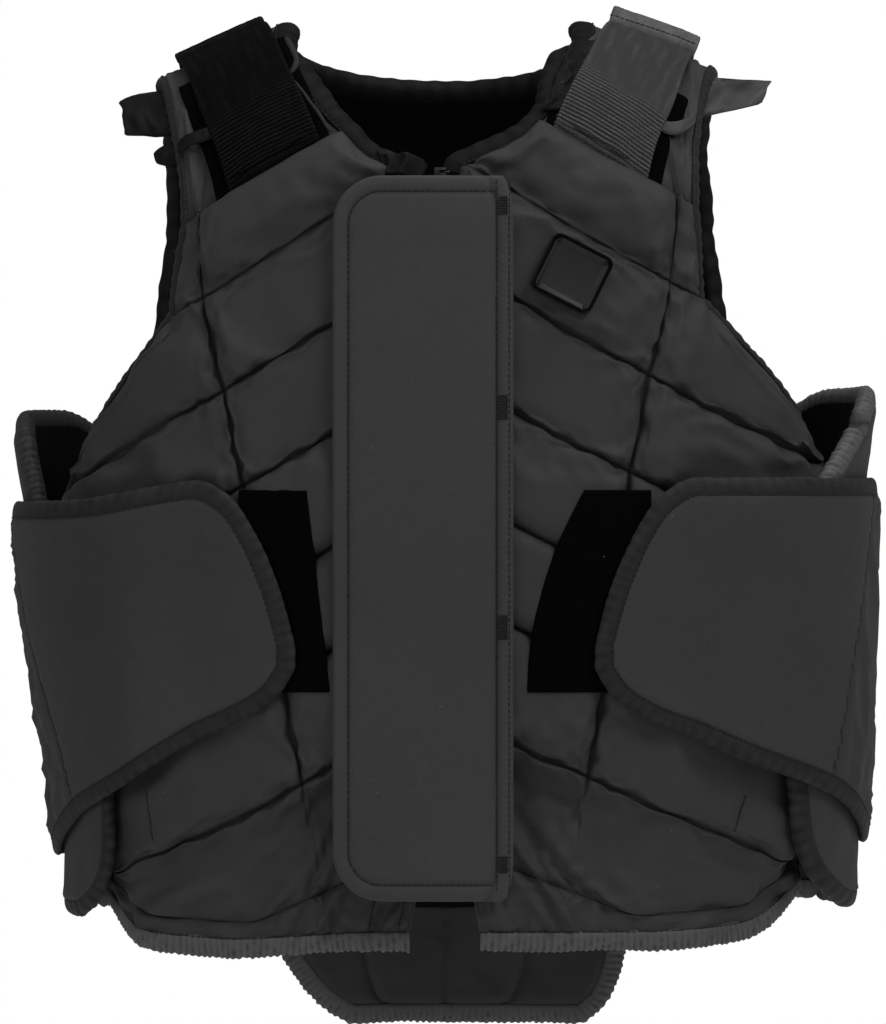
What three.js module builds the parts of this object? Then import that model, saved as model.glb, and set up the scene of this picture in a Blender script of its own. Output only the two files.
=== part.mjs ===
import * as THREE from 'three';

// A padded riding vest in its worn form, in millimetres.
// X runs across, Y from front to back, Z up. Zero is between the shoulders, where the vest sits.
// A place on the vest is an angle round the body from the front centre and a climb along its height.

// Body that the vest fits
const bodyWidth = 384;
const bodyDepth = 210;
const squareness = 2.3;
const shoulderDrop = 110;
const shoulderWalk = 160;
const shoulderFall = 0.36;

// Lengths down from the shoulders
const frontLength = 478;
const tailLength = 527;
const backLength = 462;
const armholeDepth = 222;
const neckDepth = 76;
const backNeckDepth = 23;
const wingTop = 229;
const wingHeight = 195;
const sideTop = 188;
const sideHeight = 262;
const flapTop = 71;
const flapHeight = 380;

// Reaches out from the centre
const neckReach = 90;
const shoulderReach = 152;
const sideReach = 203;
const backReach = 207;
const seamReach = 132;
const hemReach = 184;
const flapInner = 59;
const flapOuter = 36;
const tailReach = 92;
const tailShift = 12;

// Thicknesses
const foam = 20;
const seamFoam = 14;
const edgeFoam = 12;
const hemFoam = 9;
const shoulderFoam = 12;
const sideFoam = 11;
const wingFoam = 6.5;
const tailFoam = 10;
const flapCloth = 4;
const loopTape = 1.4;
const hookTape = 1.3;
const strapWeb = 3;
const keeperWeb = 1.4;
const tabCloth = 2;
const zipTape = 3;
const patchRubber = 3;
const patchRim = 1;

// Widths
const zipWidth = 12;
const neckBinding = 9.5;
const armBinding = 5;
const hemBinding = 9.5;
const sideBinding = 8;
const wingBinding = 8.5;
const tailBinding = 8;
const keeperWidth = 7;
const patchWidth = 35;
const patchHeight = 33;

// Clearances: facetRoom keeps the flat facets of curved layers clear of each other.
const gap = 0.3;
const facetRoom = 0.65;
const bindingLip = 0.8;

// Body sections: down is a share of frontLength, the rest are shares of half the body's width and depth.
const sections = [
  { down: 0.0, width: 0.99, front: 0.94, back: 0.96 },
  { down: 0.23, width: 1.0, front: 1.0, back: 1.02 },
  { down: 0.48, width: 1.0, front: 1.05, back: 0.99 },
  { down: 0.74, width: 0.99, front: 1.0, back: 0.93 },
  { down: 1.0, width: 0.98, front: 1.03, back: 1.0 },
  { down: 1.2, width: 0.98, front: 1.05, back: 1.04 },
];

// Reads a table at a place between its rows, with a smooth curve through them.
function read(table, key, column, at) {
  const last = table.length - 1;
  if (at <= table[0][key]) return table[0][column];
  if (at >= table[last][key]) return table[last][column];
  let i = 0;
  while (at > table[i + 1][key]) i += 1;
  const slope = (a, b) => (table[b][column] - table[a][column]) / (table[b][key] - table[a][key]);
  const step = table[i + 1][key] - table[i][key];
  const middle = slope(i, i + 1);
  const tangent = (j) => {
    if (j === 0 || j === last) return middle;
    const before = slope(j - 1, j);
    const after = slope(j, j + 1);
    return before * after <= 0 ? 0 : (2 * before * after) / (before + after);
  };
  const t = (at - table[i][key]) / step;
  const start = tangent(i) * step;
  const end = tangent(i + 1) * step;
  const rise = table[i + 1][column] - table[i][column];
  return table[i][column] + t * start + t * t * (3 * rise - 2 * start - end)
    + t * t * t * (start + end - 2 * rise);
}

const mix = (a, b, t) => a + (b - a) * t;
const signedPower = (value, power) => Math.sign(value) * Math.abs(value) ** power;
const mixPlace = (a, b, t) => ({ angle: mix(a.angle, b.angle, t), climb: mix(a.climb, b.climb, t) });
const ramp = (from, to, at) => {
  const t = Math.min(1, Math.max(0, (at - from) / (to - from)));
  return t * t * (3 - 2 * t);
};

// The inside of the vest. Climb is height under the shoulder arch, then a walk over the arch.
function skin({ angle, climb }) {
  if (climb > shoulderWalk) {
    return skin({ angle: Math.sign(angle) * Math.PI - angle, climb: 2 * shoulderWalk - climb });
  }
  const level = -shoulderDrop + Math.min(0, climb);
  const at = -level / frontLength;
  const across = signedPower(Math.sin(angle), 2 / squareness);
  const along = signedPower(Math.cos(angle), 2 / squareness);
  const x = (bodyWidth / 2) * read(sections, 'down', 'width', at) * across;
  const y = -(bodyDepth / 2) * read(sections, 'down', along > 0 ? 'front' : 'back', at) * along;
  if (climb <= 0) return new THREE.Vector3(x, y, level);
  const turn = (climb / shoulderWalk) * (Math.PI / 2);
  const arch = shoulderDrop - shoulderFall * (Math.abs(x) - neckReach);
  return new THREE.Vector3(x, y * Math.cos(turn), -shoulderDrop + arch * Math.sin(turn));
}

function outward({ angle, climb }) {
  const turn = 0.004;
  const walk = 0.4;
  const round = skin({ angle: angle + turn, climb }).sub(skin({ angle: angle - turn, climb }));
  const up = skin({ angle, climb: climb + walk }).sub(skin({ angle, climb: climb - walk }));
  return round.cross(up).normalize();
}

const lifted = (place, lift) => skin(place).addScaledVector(outward(place), lift);

// The place whose lifted point is at x and z in the front view. Behind is true for the back.
function seat(x, z, lift, behind = false) {
  const side = x < 0 ? -1 : 1;
  let low = z;
  let place = { angle: 0, climb: 0 };
  for (let pass = 0; pass < 7; pass += 1) {
    let from = behind ? Math.PI / 2 : 0;
    let to = behind ? Math.PI : Math.PI / 2;
    const arch = shoulderDrop - shoulderFall * (Math.abs(x) - neckReach);
    const rise = Math.min(1, (low + shoulderDrop) / arch);
    const climb = rise <= 0 ? low + shoulderDrop : (Math.asin(rise) * shoulderWalk) / (Math.PI / 2);
    for (let cut = 0; cut < 22; cut += 1) {
      const angle = (from + to) / 2;
      const wide = Math.abs(lifted({ angle: side * angle, climb }, lift).x) < Math.abs(x);
      if (wide !== behind) from = angle;
      else to = angle;
    }
    place = { angle: (side * (from + to)) / 2, climb };
    low += z - lifted(place, lift).z;
  }
  return place;
}

// Solids
function meshFrom(points, faces, name, material) {
  const geometry = new THREE.BufferGeometry();
  geometry.setAttribute('position', new THREE.Float32BufferAttribute(points.flatMap((p) => p.toArray()), 3));
  let volume = 0;
  for (const [a, b, c] of faces) volume += points[a].dot(points[b].clone().cross(points[c]));
  const turned = volume < 0 ? faces.map(([a, b, c]) => [a, c, b]) : faces;
  geometry.setIndex(turned.flat());
  geometry.computeVertexNormals();
  const mesh = new THREE.Mesh(geometry, material);
  mesh.name = name;
  return mesh;
}

// A closed sheet between two grids of points.
function between(name, material, innerGrid, outerGrid) {
  const height = innerGrid.length;
  const width = innerGrid[0].length;
  const points = [...innerGrid.flat(), ...outerGrid.flat()];
  const far = height * width;
  const at = (i, j, face) => face * far + i * width + j;
  const faces = [];
  const quad = (a, b, c, d) => faces.push([a, b, c], [a, c, d]);
  for (let i = 0; i < height - 1; i += 1) {
    for (let j = 0; j < width - 1; j += 1) {
      quad(at(i, j, 0), at(i, j + 1, 0), at(i + 1, j + 1, 0), at(i + 1, j, 0));
      quad(at(i, j, 1), at(i + 1, j, 1), at(i + 1, j + 1, 1), at(i, j + 1, 1));
    }
  }
  for (let j = 0; j < width - 1; j += 1) {
    quad(at(0, j, 0), at(0, j, 1), at(0, j + 1, 1), at(0, j + 1, 0));
    quad(at(height - 1, j, 0), at(height - 1, j + 1, 0), at(height - 1, j + 1, 1), at(height - 1, j, 1));
  }
  for (let i = 0; i < height - 1; i += 1) {
    quad(at(i, 0, 0), at(i + 1, 0, 0), at(i + 1, 0, 1), at(i, 0, 1));
    quad(at(i, width - 1, 0), at(i, width - 1, 1), at(i + 1, width - 1, 1), at(i + 1, width - 1, 0));
  }
  return meshFrom(points, faces, name, material);
}

// A sheet with thickness: rows of places, with the lifts of its inner and outer faces.
function sheet(name, material, rows, inner, outer) {
  const grid = (lift) => rows.map((row, i) => row.map((place, j) => lifted(place, lift(i, j, place))));
  return between(name, material, grid(inner), grid(outer));
}

// The foot of an edge point on the skin, with the directions away from the piece and out of the body.
function edgeFrame(edge, inward, k) {
  const before = skin(edge[Math.max(0, k - 1)]);
  const after = skin(edge[Math.min(edge.length - 1, k + 1)]);
  const foot = skin(edge[k]);
  const normal = outward(edge[k]);
  const away = after.sub(before).cross(normal).normalize();
  if (away.dot(skin(inward[k]).sub(foot)) > 0) away.negate();
  const at = (reach, lift) => foot.clone().addScaledVector(away, reach).addScaledVector(normal, lift);
  return { away, at };
}

// A binding along an edge: it starts a gap away from the edge and is rounded at its outer side.
function binding(name, material, edge, inward, low, high, width, gather = 0) {
  const points = [];
  const aways = [];
  const faces = [];
  const ring = 6;
  edge.forEach((place, k) => {
    const { away, at } = edgeFrame(edge, inward, k);
    aways.push(away);
    const pucker = k % 2 === 0 ? gather : -gather;
    const floor = low(place, k) - bindingLip;
    const roof = high(place, k) + bindingLip + pucker;
    const middle = (floor + roof) / 2;
    const profile = [
      [gap, floor],
      [width * 0.7, floor],
      [width, mix(middle, floor, 0.4)],
      [width, mix(middle, roof, 0.4)],
      [width * 0.7, roof],
      [gap, roof],
    ];
    for (const [reach, lift] of profile) points.push(at(reach, lift));
  });
  for (let k = 0; k < edge.length - 1; k += 1) {
    for (let s = 0; s < ring - 1; s += 1) {
      const a = k * ring + s;
      faces.push([a, a + 1, a + 1 + ring], [a, a + 1 + ring, a + ring]);
    }
    const roof = k * ring + ring - 1;
    const floor = k * ring;
    const falling = points[roof].clone().add(points[floor + ring]);
    const rising = points[floor].clone().add(points[roof + ring]);
    if (falling.sub(rising).dot(aways[k]) > 0) {
      faces.push([roof, floor, floor + ring], [roof, floor + ring, roof + ring]);
    } else {
      faces.push([roof, floor, roof + ring], [floor, floor + ring, roof + ring]);
    }
  }
  const tail = (edge.length - 1) * ring;
  for (let s = 1; s < ring - 1; s += 1) {
    faces.push([0, s + 1, s], [tail, tail + s, tail + s + 1]);
  }
  return meshFrom(points, faces, name, material);
}

// Rows between seam rows. Each block is cut at the same shares of its height.
function fillRows(seams, cuts) {
  const rows = [];
  const shares = [];
  seams.forEach((row, i) => {
    if (i === seams.length - 1) {
      rows.push(row);
      shares.push(0);
      return;
    }
    for (const cut of cuts) {
      rows.push(row.map((place, j) => mixPlace(place, seams[i + 1][j], cut)));
      shares.push(cut);
    }
  });
  return { rows, shares };
}

const puff = (share) => Math.min(1, Math.min(share, 1 - share) * 6.5);

// Materials
const cloth = (color, roughness) => new THREE.MeshStandardMaterial({ color, roughness, metalness: 0 });
const shellCloth = cloth(0x35363a, 0.85);
const flapShell = cloth(0x3a3b3f, 0.8);
const blackTape = cloth(0x151415, 0.7);
const greyTape = cloth(0x4a4a4d, 0.85);
const lining = cloth(0x0c0c0d, 0.8);
const webbing = cloth(0x2c2c2f, 0.8);
const loopPile = cloth(0x060606, 0.95);
const rubber = cloth(0x121213, 0.55);

// Front panels
// Quilting rows: centre is the height at seamStart from the centre, a share of frontLength.
const seamStart = 60;
const frontSeams = [
  { down: 0.103, slope: 0.55 },
  { down: 0.192, slope: 0.55 },
  { down: 0.309, slope: 0.54 },
  { down: 0.431, slope: 0.49 },
  { down: 0.554, slope: 0.46 },
  { down: 0.666, slope: 0.45 },
  { down: 0.794, slope: 0.45 },
  { down: 0.928, slope: 0.38 },
];

// Front edge: down is a share of neckDepth, out a share of neckReach.
const neckCurve = [
  { down: -0.03, out: 1.0 },
  { down: 0.26, out: 0.87 },
  { down: 0.46, out: 0.78 },
  { down: 0.64, out: 0.665 },
  { down: 0.79, out: 0.545 },
  { down: 0.91, out: 0.41 },
  { down: 0.965, out: 0.27 },
  { down: 1.0, out: 0.067 },
];

// Armhole of the front panel: down is a share of armholeDepth, out of shoulderReach.
const frontArmhole = [
  { down: 0.0, out: 0.98 },
  { down: 0.27, out: 0.93 },
  { down: 0.43, out: 0.885 },
  { down: 0.52, out: 0.875 },
  { down: 0.68, out: 0.98 },
  { down: 0.81, out: 1.1 },
  { down: 0.94, out: 1.23 },
  { down: 1.0, out: 1.3 },
];

// Side edge below the armhole: down is a share of frontLength, out of sideReach.
const frontSide = [
  { down: 0.46, out: 0.985 },
  { down: 0.49, out: 1.0 },
  { down: 0.65, out: 0.985 },
  { down: 0.83, out: 0.94 },
  { down: 0.94, out: 0.905 },
  { down: 1.0, out: 0.89 },
];

// Long seam: down is a share of frontLength, out of seamReach.
const longSeam = [
  { down: 0.15, out: 0.965 },
  { down: 0.2, out: 0.965 },
  { down: 0.275, out: 0.93 },
  { down: 0.379, out: 0.835 },
  { down: 0.483, out: 0.765 },
  { down: 0.74, out: 0.61 },
  { down: 0.82, out: 0.56 },
  { down: 1.0, out: 0.5 },
];

// The front hem's corner: out is a share of hemReach, rise of hemCornerRise.
const hemCornerRise = 28;
const hemCorner = [
  { out: 0.6, rise: 0.0 },
  { out: 0.86, rise: 0.16 },
  { out: 0.925, rise: 0.42 },
  { out: 0.98, rise: 0.85 },
  { out: 1.02, rise: 1.0 },
];

// The zip edge opens out below the zip: down is a share of frontLength, spread of hemSpread.
const hemSpread = 15;
const zipEdge = [
  { down: 0.83, spread: 0.0 },
  { down: 0.94, spread: 0.55 },
  { down: 1.0, spread: 1.0 },
];

function frontInner(z) {
  const down = -z / neckDepth;
  if (down < 1) return neckReach * read(neckCurve, 'down', 'out', down);
  return zipWidth / 2 + hemSpread * read(zipEdge, 'down', 'spread', -z / frontLength);
}

function frontOuter(z) {
  const arm = shoulderReach * read(frontArmhole, 'down', 'out', -z / armholeDepth);
  if (-z < armholeDepth * 0.97) return arm;
  return Math.min(sideReach, Math.max(arm, sideReach * read(frontSide, 'down', 'out', -z / frontLength)));
}

const longSeamOut = (z) => seamReach * read(longSeam, 'down', 'out', -z / frontLength);
const hemLine = (x) => -(frontLength - hemBinding)
  + hemCornerRise * read(hemCorner, 'out', 'rise', x / hemReach);

function frontLine(seam) {
  return (x) => {
    const z = -frontLength * seam.down - seam.slope * (x - seamStart);
    const keep = frontLength * 0.022 * Math.max(0, frontSeams.length - 1 - frontSeams.indexOf(seam));
    return Math.max(z, hemLine(x) + keep + frontLength * 0.02);
  };
}

// Where a row meets an edge that is given by height.
function meet(line, edgeOut) {
  let from = 0;
  let to = bodyWidth;
  for (let cut = 0; cut < 30; cut += 1) {
    const x = (from + to) / 2;
    if (x < edgeOut(line(x))) from = x;
    else to = x;
  }
  return (from + to) / 2;
}

const columnCuts = [0, 0.16, 0.5, 0.84];
const rowCuts = [0, 0.16, 0.5, 0.84];

function acrossRow(line, side, lift) {
  const inner = meet(line, frontInner);
  const outer = meet(line, frontOuter);
  const seam = Math.min(meet(line, longSeamOut), outer - armBinding);
  const row = [];
  for (const cut of columnCuts) row.push(mix(inner, seam, cut));
  for (const cut of columnCuts) row.push(mix(seam, outer, cut));
  row.push(outer);
  return row.map((x) => seat(side * x, line(x), lift));
}

function frontPanel(side) {
  const seams = frontSeams.map((seam) => acrossRow(frontLine(seam), side, seamFoam));
  const ridge = seams[0].map((place, j) => {
    const x = mix(neckReach, shoulderReach, j / (seams[0].length - 1));
    const top = seat(side * x, shoulderDrop, shoulderFoam);
    return { angle: top.angle, climb: shoulderWalk - gap };
  });
  const hem = acrossRow(hemLine, side, hemFoam);
  const shoulder = fillRows([ridge, seams[0]], [0, 0.25, 0.5, 0.75]);
  const quilted = fillRows([...seams, hem], rowCuts);
  const first = shoulder.rows.length - 1;
  const rows = [...shoulder.rows.slice(0, first), ...quilted.rows];
  const lastPadded = (frontSeams.length - 2) * rowCuts.length + first;
  const columns = columnCuts.length;
  const thick = (i, j) => {
    const share = columnCuts[j % columns];
    const edge = j === 0 || j === 2 * columns;
    if (i < first) return shoulderFoam;
    const rise = puff(quilted.shares[i - first]);
    const narrow = j < columns ? 1 : ramp(0, 5 * rowCuts.length, i - first);
    const low = i > lastPadded ? hemFoam - 3 : seamFoam;
    const full = i > lastPadded ? hemFoam : foam;
    if (edge) return mix(low, Math.min(edgeFoam, full), rise);
    return mix(low, full, rise * puff(share) * narrow);
  };
  const name = side < 0 ? 'front_panel_right' : 'front_panel_left';
  const mesh = sheet(name, shellCloth, rows, () => 0, (i, j) => thick(i, j));
  return { mesh, rows, thick };
}

const sides = [{ side: -1, word: 'right' }, { side: 1, word: 'left' }];
const vest = new THREE.Group();
const fronts = sides.map(({ side }) => frontPanel(side));
fronts.forEach((front) => vest.add(front.mesh));

// Bindings of the front panels
sides.forEach(({ word }, k) => {
  const { rows, thick } = fronts[k];
  const last = rows[0].length - 1;
  const neckEnd = rows.findIndex((row) => -lifted(row[0], edgeFoam).z > neckDepth * 0.97);
  const neck = rows.slice(0, neckEnd);
  vest.add(binding(`neck_binding_${word}`, blackTape, neck.map((row) => row[0]), neck.map((row) => row[1]),
    () => 0, (place, i) => Math.min(shoulderFoam, thick(i, 0)), neckBinding));
  const armEnd = rows.findIndex((row) => -lifted(row[last], edgeFoam).z > armholeDepth * 0.97);
  const arm = rows.slice(0, armEnd);
  vest.add(binding(`armhole_binding_${word}`, blackTape, arm.map((row) => row[last]),
    arm.map((row) => row[last - 1]), () => 0, (place, i) => Math.min(shoulderFoam, thick(i, last)), armBinding));
  const hem = rows[rows.length - 1];
  const above = rows[rows.length - 2];
  const dense = [];
  const denseIn = [];
  for (let j = 0; j < last; j += 1) {
    const cuts = j < last - 1 ? 3 : 2;
    for (let cut = 0; cut < cuts; cut += 1) {
      dense.push(mixPlace(hem[j], hem[j + 1], cut / 3));
      denseIn.push(mixPlace(above[j], above[j + 1], cut / 3));
    }
  }
  vest.add(binding(`hem_binding_${word}`, greyTape, dense, denseIn, () => 0, () => hemFoam - 3,
    hemBinding, 0.5));
});

// Zip and its cover
const zipRows = [];
const zipSteps = 16;
for (let i = 0; i <= zipSteps; i += 1) {
  const z = mix(-neckDepth + 4, -frontLength * 0.83, i / zipSteps);
  const reach = zipWidth / 2 - gap;
  zipRows.push([-reach, 0, reach].map((x) => seat(x === 0 ? 0.01 : x, z, edgeFoam)));
}
vest.add(sheet('front_zip', blackTape, zipRows, () => edgeFoam - zipTape, (i, j) => edgeFoam + (j === 1 ? 1 : 0)));

const flapLow = foam + 2 * gap;
const flapCorner = 26;
const flapRows = [];
const flapSteps = [0, 0.01, 0.03, 0.06, 0.1, 0.18, 0.28, 0.38, 0.48, 0.58, 0.68, 0.78, 0.86, 0.92, 0.96, 0.985, 1];
for (const step of flapSteps) {
  const down = flapHeight * step;
  const fromEnd = Math.min(down, flapHeight - down);
  const short = Math.max(0, flapCorner - fromEnd);
  const cutBack = flapCorner - Math.sqrt(Math.max(0, flapCorner ** 2 - short ** 2));
  const left = -flapInner + cutBack;
  const right = flapOuter - cutBack * 0.25;
  flapRows.push([0, 0.06, 0.3, 0.55, 0.8, 0.94, 1]
    .map((share) => seat(mix(left, right, share) || 0.01, -flapTop - down, flapLow + flapCloth)));
}
vest.add(sheet('front_flap', flapShell, flapRows, () => flapLow, (i, j) => {
  const rim = j === 0 || j === 6 || i === 0 || i === flapSteps.length - 1;
  return flapLow + flapCloth - (rim ? 1.2 : 0);
}));

// Back panel and tail
const backSeams = [
  { down: 0.16, slope: 0.12 },
  { down: 0.3, slope: 0.14 },
  { down: 0.44, slope: 0.15 },
  { down: 0.575, slope: 0.14 },
  { down: 0.71, slope: 0.1 },
  { down: 0.84, slope: 0.04 },
];
const backArmhole = [
  { down: 0.0, out: 1.0 },
  { down: 0.25, out: 0.99 },
  { down: 0.5, out: 0.98 },
  { down: 0.68, out: 1.02 },
  { down: 0.8, out: 1.1 },
  { down: 0.86, out: 1.24 },
  { down: 0.92, out: 1.34 },
  { down: 1.0, out: 1.355 },
];
const backColumns = [0, 0.13, 0.25, 0.31, 0.37, 0.47, 0.57, 0.63, 0.69, 0.94, 1];
const backPuffs = [1, 1, 1, 0, 1, 1, 1, 0, 1, 1, 0];

function backOuter(z) {
  return Math.min(backReach, shoulderReach * read(backArmhole, 'down', 'out', -z / armholeDepth));
}

const wholeColumns = [...backColumns.slice(1).map((share) => -share).reverse(), ...backColumns];
const wholePuffs = [...backPuffs.slice(1).reverse(), ...backPuffs];

function backRow(line, lift) {
  const outer = meet(line, backOuter);
  return wholeColumns.map((share) => {
    const x = share === 0 ? 0.01 : share * outer;
    return seat(x, line(Math.abs(x)), lift, true);
  });
}

const backHem = (x) => -backLength + 17 * ramp(tailReach, backReach, x);
const backRidge = wholeColumns.map((share) => {
  const x = share === 0 ? 0.01 : share * shoulderReach;
  const reach = Math.abs(x);
  if (reach >= neckReach) {
    const top = seat(x, shoulderDrop, shoulderFoam, true);
    return { angle: top.angle, climb: shoulderWalk - gap };
  }
  const sweep = Math.sqrt(1 - (reach / (neckReach + 2)) ** 2);
  return seat(x, -(backNeckDepth + 8) * sweep + 8, shoulderFoam, true);
});
const backRows = [
  backRidge,
  ...backSeams.map((seam) => backRow((x) => -frontLength * seam.down - seam.slope * x, seamFoam)),
  backRow(backHem, edgeFoam),
];
const backCuts = [0, 0.2, 0.8];
const back = fillRows(backRows, backCuts);
const backThick = (i, j) => {
  const edge = j === 0 || j === wholeColumns.length - 1;
  if (i < 2) return shoulderFoam;
  if (edge || i === back.rows.length - 1) return edgeFoam;
  return mix(seamFoam, foam, (back.shares[i] === 0 ? 0 : 1) * wholePuffs[j]);
};
vest.add(sheet('back_panel', shellCloth, back.rows, () => 0, (i, j) => backThick(i, j)));

const overNeck = (place, j) => Math.abs(wholeColumns[j] * shoulderReach) < neckReach;
const topPlaces = backRidge.filter(overNeck);
const topInward = back.rows[1].filter(overNeck);
vest.add(binding('neck_binding_back', blackTape, topPlaces, topInward, () => 0, () => shoulderFoam, neckBinding));

sides.forEach(({ side, word }) => {
  const j = side < 0 ? 0 : wholeColumns.length - 1;
  const arm = back.rows.filter((row) => -lifted(row[j], edgeFoam).z < armholeDepth * 0.84);
  vest.add(binding(`back_armhole_binding_${word}`, blackTape, arm.map((row) => row[j]),
    arm.map((row) => row[j - side]), () => 0, () => edgeFoam, armBinding));
});

sides.forEach(({ side, word }) => {
  const bottom = back.rows.length - 1;
  const keep = (row) => row.filter((place, j) => {
    const x = lifted(place, edgeFoam).x * side;
    return x > tailReach + tailShift + tailBinding && j > 0 && j < row.length - 1;
  });
  vest.add(binding(`back_hem_binding_${word}`, greyTape, keep(back.rows[bottom]), keep(back.rows[bottom - 1]),
    () => 0, () => edgeFoam, hemBinding));
});

// Tail: out is a share of tailReach, down of its drop below the back panel.
const tailShape = [
  { down: 0.0, out: 1.0 },
  { down: 0.3, out: 0.97 },
  { down: 0.6, out: 0.9 },
  { down: 0.85, out: 0.8 },
  { down: 1.0, out: 0.68 },
];
const tailDrop = tailLength - tailBinding - backLength - 2 * gap;
const tailColumns = [-1, -0.92, -0.6, -0.52, -0.44, -0.08, 0, 0.08, 0.44, 0.52, 0.6, 0.92, 1];
const tailRows = tailShape.map(({ down, out }) => tailColumns.map((share) => {
  const x = share * out * tailReach + tailShift * down + 0.01;
  return seat(x, -backLength - 2 * gap - down * tailDrop, tailFoam, true);
}));
const tailThick = (i, j) => {
  const seam = [0, 3, 6, 9, 12].includes(j) || i === tailShape.length - 1;
  return seam ? tailFoam - 3 : tailFoam;
};
vest.add(sheet('tail_flap', lining, tailRows, () => 0, (i, j) => tailThick(i, j)));
const tailEdge = [];
const tailIn = [];
const lastTail = tailShape.length - 1;
const lastColumn = tailColumns.length - 1;
for (let i = 1; i < lastTail; i += 1) {
  tailEdge.push(tailRows[i][0]);
  tailIn.push(tailRows[i][1]);
}
for (let j = 0; j <= lastColumn; j += 1) {
  tailEdge.push(tailRows[lastTail][j]);
  tailIn.push(tailRows[lastTail - 1][j]);
}
for (let i = lastTail - 1; i > 0; i -= 1) {
  tailEdge.push(tailRows[i][lastColumn]);
  tailIn.push(tailRows[i][lastColumn - 1]);
}
vest.add(binding('tail_binding', greyTape, tailEdge, tailIn, () => 0, () => tailFoam - 3, tailBinding, 0.4));

// Side panels. Front is the front edge in degrees round from the front; down is a share of sideHeight.
const sideColumns = [0, 0.08, 0.2, 0.32, 0.44, 0.56, 0.68, 0.8, 0.92, 1];
const sideShape = [
  { down: 0.0, front: 80, back: 120, flare: 1.0 },
  { down: 0.08, front: 75, back: 122, flare: 0.6 },
  { down: 0.18, front: 69, back: 123, flare: 0.15 },
  { down: 0.4, front: 63, back: 123, flare: 0.0 },
  { down: 0.65, front: 58, back: 122, flare: 0.0 },
  { down: 0.85, front: 55, back: 120, flare: 0.0 },
  { down: 0.94, front: 58, back: 116, flare: 0.1 },
  { down: 1.0, front: 66, back: 110, flare: 0.2 },
];
const sideFlare = 8;
const flareAt = (climb) => sideFlare
  * read(sideShape, 'down', 'flare', (shoulderDrop - sideTop - climb) / sideHeight);
const sideLow = foam + gap + facetRoom;
const degrees = Math.PI / 180;

sides.forEach(({ side, word }) => {
  const rows = sideShape.map(({ down, front, back: rear }) => sideColumns
    .map((share) => ({
      angle: side * mix(front, rear, share) * degrees,
      climb: shoulderDrop - sideTop - down * sideHeight,
    })));
  const flare = (i) => flareAt(rows[i][0].climb);
  const low = (i) => sideLow + flare(i);
  const high = (i, j) => {
    const rim = i === 0 || i === sideShape.length - 1 || j === 0 || j === sideColumns.length - 1;
    return sideLow + sideFoam + flare(i) - (rim ? 2 : 0);
  };
  vest.add(sheet(`side_panel_${word}`, shellCloth, rows, (i) => low(i), high));
  const edge = [];
  const within = [];
  const flares = [];
  const add = (i, j, ii, jj) => {
    edge.push(rows[i][j]);
    within.push(rows[ii][jj]);
    flares.push(flare(i));
  };
  const last = rows.length - 1;
  for (let i = last - 1; i > 0; i -= 1) add(i, 0, i, 1);
  for (let j = 0; j < sideColumns.length; j += 1) add(0, j, 1, j);
  const wrap = (place, k) => sideLow + flares[k] + bindingLip;
  vest.add(binding(`side_binding_${word}`, greyTape, edge, within, wrap,
    (place, k) => wrap(place, k) + sideFoam - 2 - 2 * bindingLip, sideBinding, 0.3));
});

// Waist wings. Along is a share from the tip to the back end; top and bottom are shares of wingHeight.
const wingTip = 20;
const wingEnd = 112;
const wingShape = [
  { along: 0.0, top: 0.405, bottom: 0.544 },
  { along: 0.027, top: 0.256, bottom: 0.605 },
  { along: 0.065, top: 0.123, bottom: 0.646 },
  { along: 0.109, top: 0.036, bottom: 0.677 },
  { along: 0.163, top: 0.0, bottom: 0.703 },
  { along: 0.215, top: 0.0, bottom: 0.735 },
  { along: 0.272, top: 0.0, bottom: 0.769 },
  { along: 0.33, top: 0.0, bottom: 0.797 },
  { along: 0.391, top: 0.0, bottom: 0.82 },
  { along: 0.45, top: 0.0, bottom: 0.843 },
  { along: 0.511, top: 0.0, bottom: 0.867 },
  { along: 0.57, top: 0.0, bottom: 0.9 },
  { along: 0.63, top: 0.0, bottom: 0.938 },
  { along: 0.7, top: 0.0, bottom: 0.98 },
  { along: 0.77, top: 0.0, bottom: 1.0 },
  { along: 0.85, top: 0.0, bottom: 1.0 },
  { along: 0.93, top: 0.0, bottom: 1.0 },
  { along: 1.0, top: 0.0, bottom: 1.0 },
];
const wingOnFront = foam + loopTape + 2 * gap;
const wingOnSide = sideLow + sideFoam + gap + facetRoom;
const wingLow = (place) => mix(wingOnFront, wingOnSide + flareAt(place.climb),
  ramp(34, 52, Math.abs(place.angle) / degrees));

sides.forEach(({ side, word }) => {
  const rows = wingShape.map(({ along, top, bottom }) => [0, 0.08, 0.35, 0.65, 0.92, 1].map((share) => {
    const inset = wingBinding / wingHeight;
    const shrunk = mix(top + inset, bottom - inset, share);
    const angle = mix(wingTip + 2.2, wingEnd, along) * degrees * side;
    return { angle, climb: shoulderDrop - wingTop - wingHeight * shrunk };
  }));
  const high = (i, j, place) => {
    const rim = i === 0 || i === rows.length - 1 || j === 0 || j === 5;
    return wingLow(place) + wingFoam - (rim ? 1.5 : 0);
  };
  vest.add(sheet(`waist_wing_${word}`, shellCloth, rows, (i, j, place) => wingLow(place), high));
  const edge = [];
  const within = [];
  const last = rows.length - 1;
  for (let i = last; i > 0; i -= 1) {
    edge.push(rows[i][0]);
    within.push(rows[i][1]);
  }
  for (let j = 0; j <= 5; j += 1) {
    edge.push(rows[0][j]);
    within.push(rows[1][j]);
  }
  for (let i = 1; i <= last; i += 1) {
    edge.push(rows[i][5]);
    within.push(rows[i][4]);
  }
  vest.add(binding(`wing_binding_${word}`, blackTape, edge, within, (place) => wingLow(place) + bindingLip,
    (place) => wingLow(place) + wingFoam - 1.5, wingBinding));
});

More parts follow.
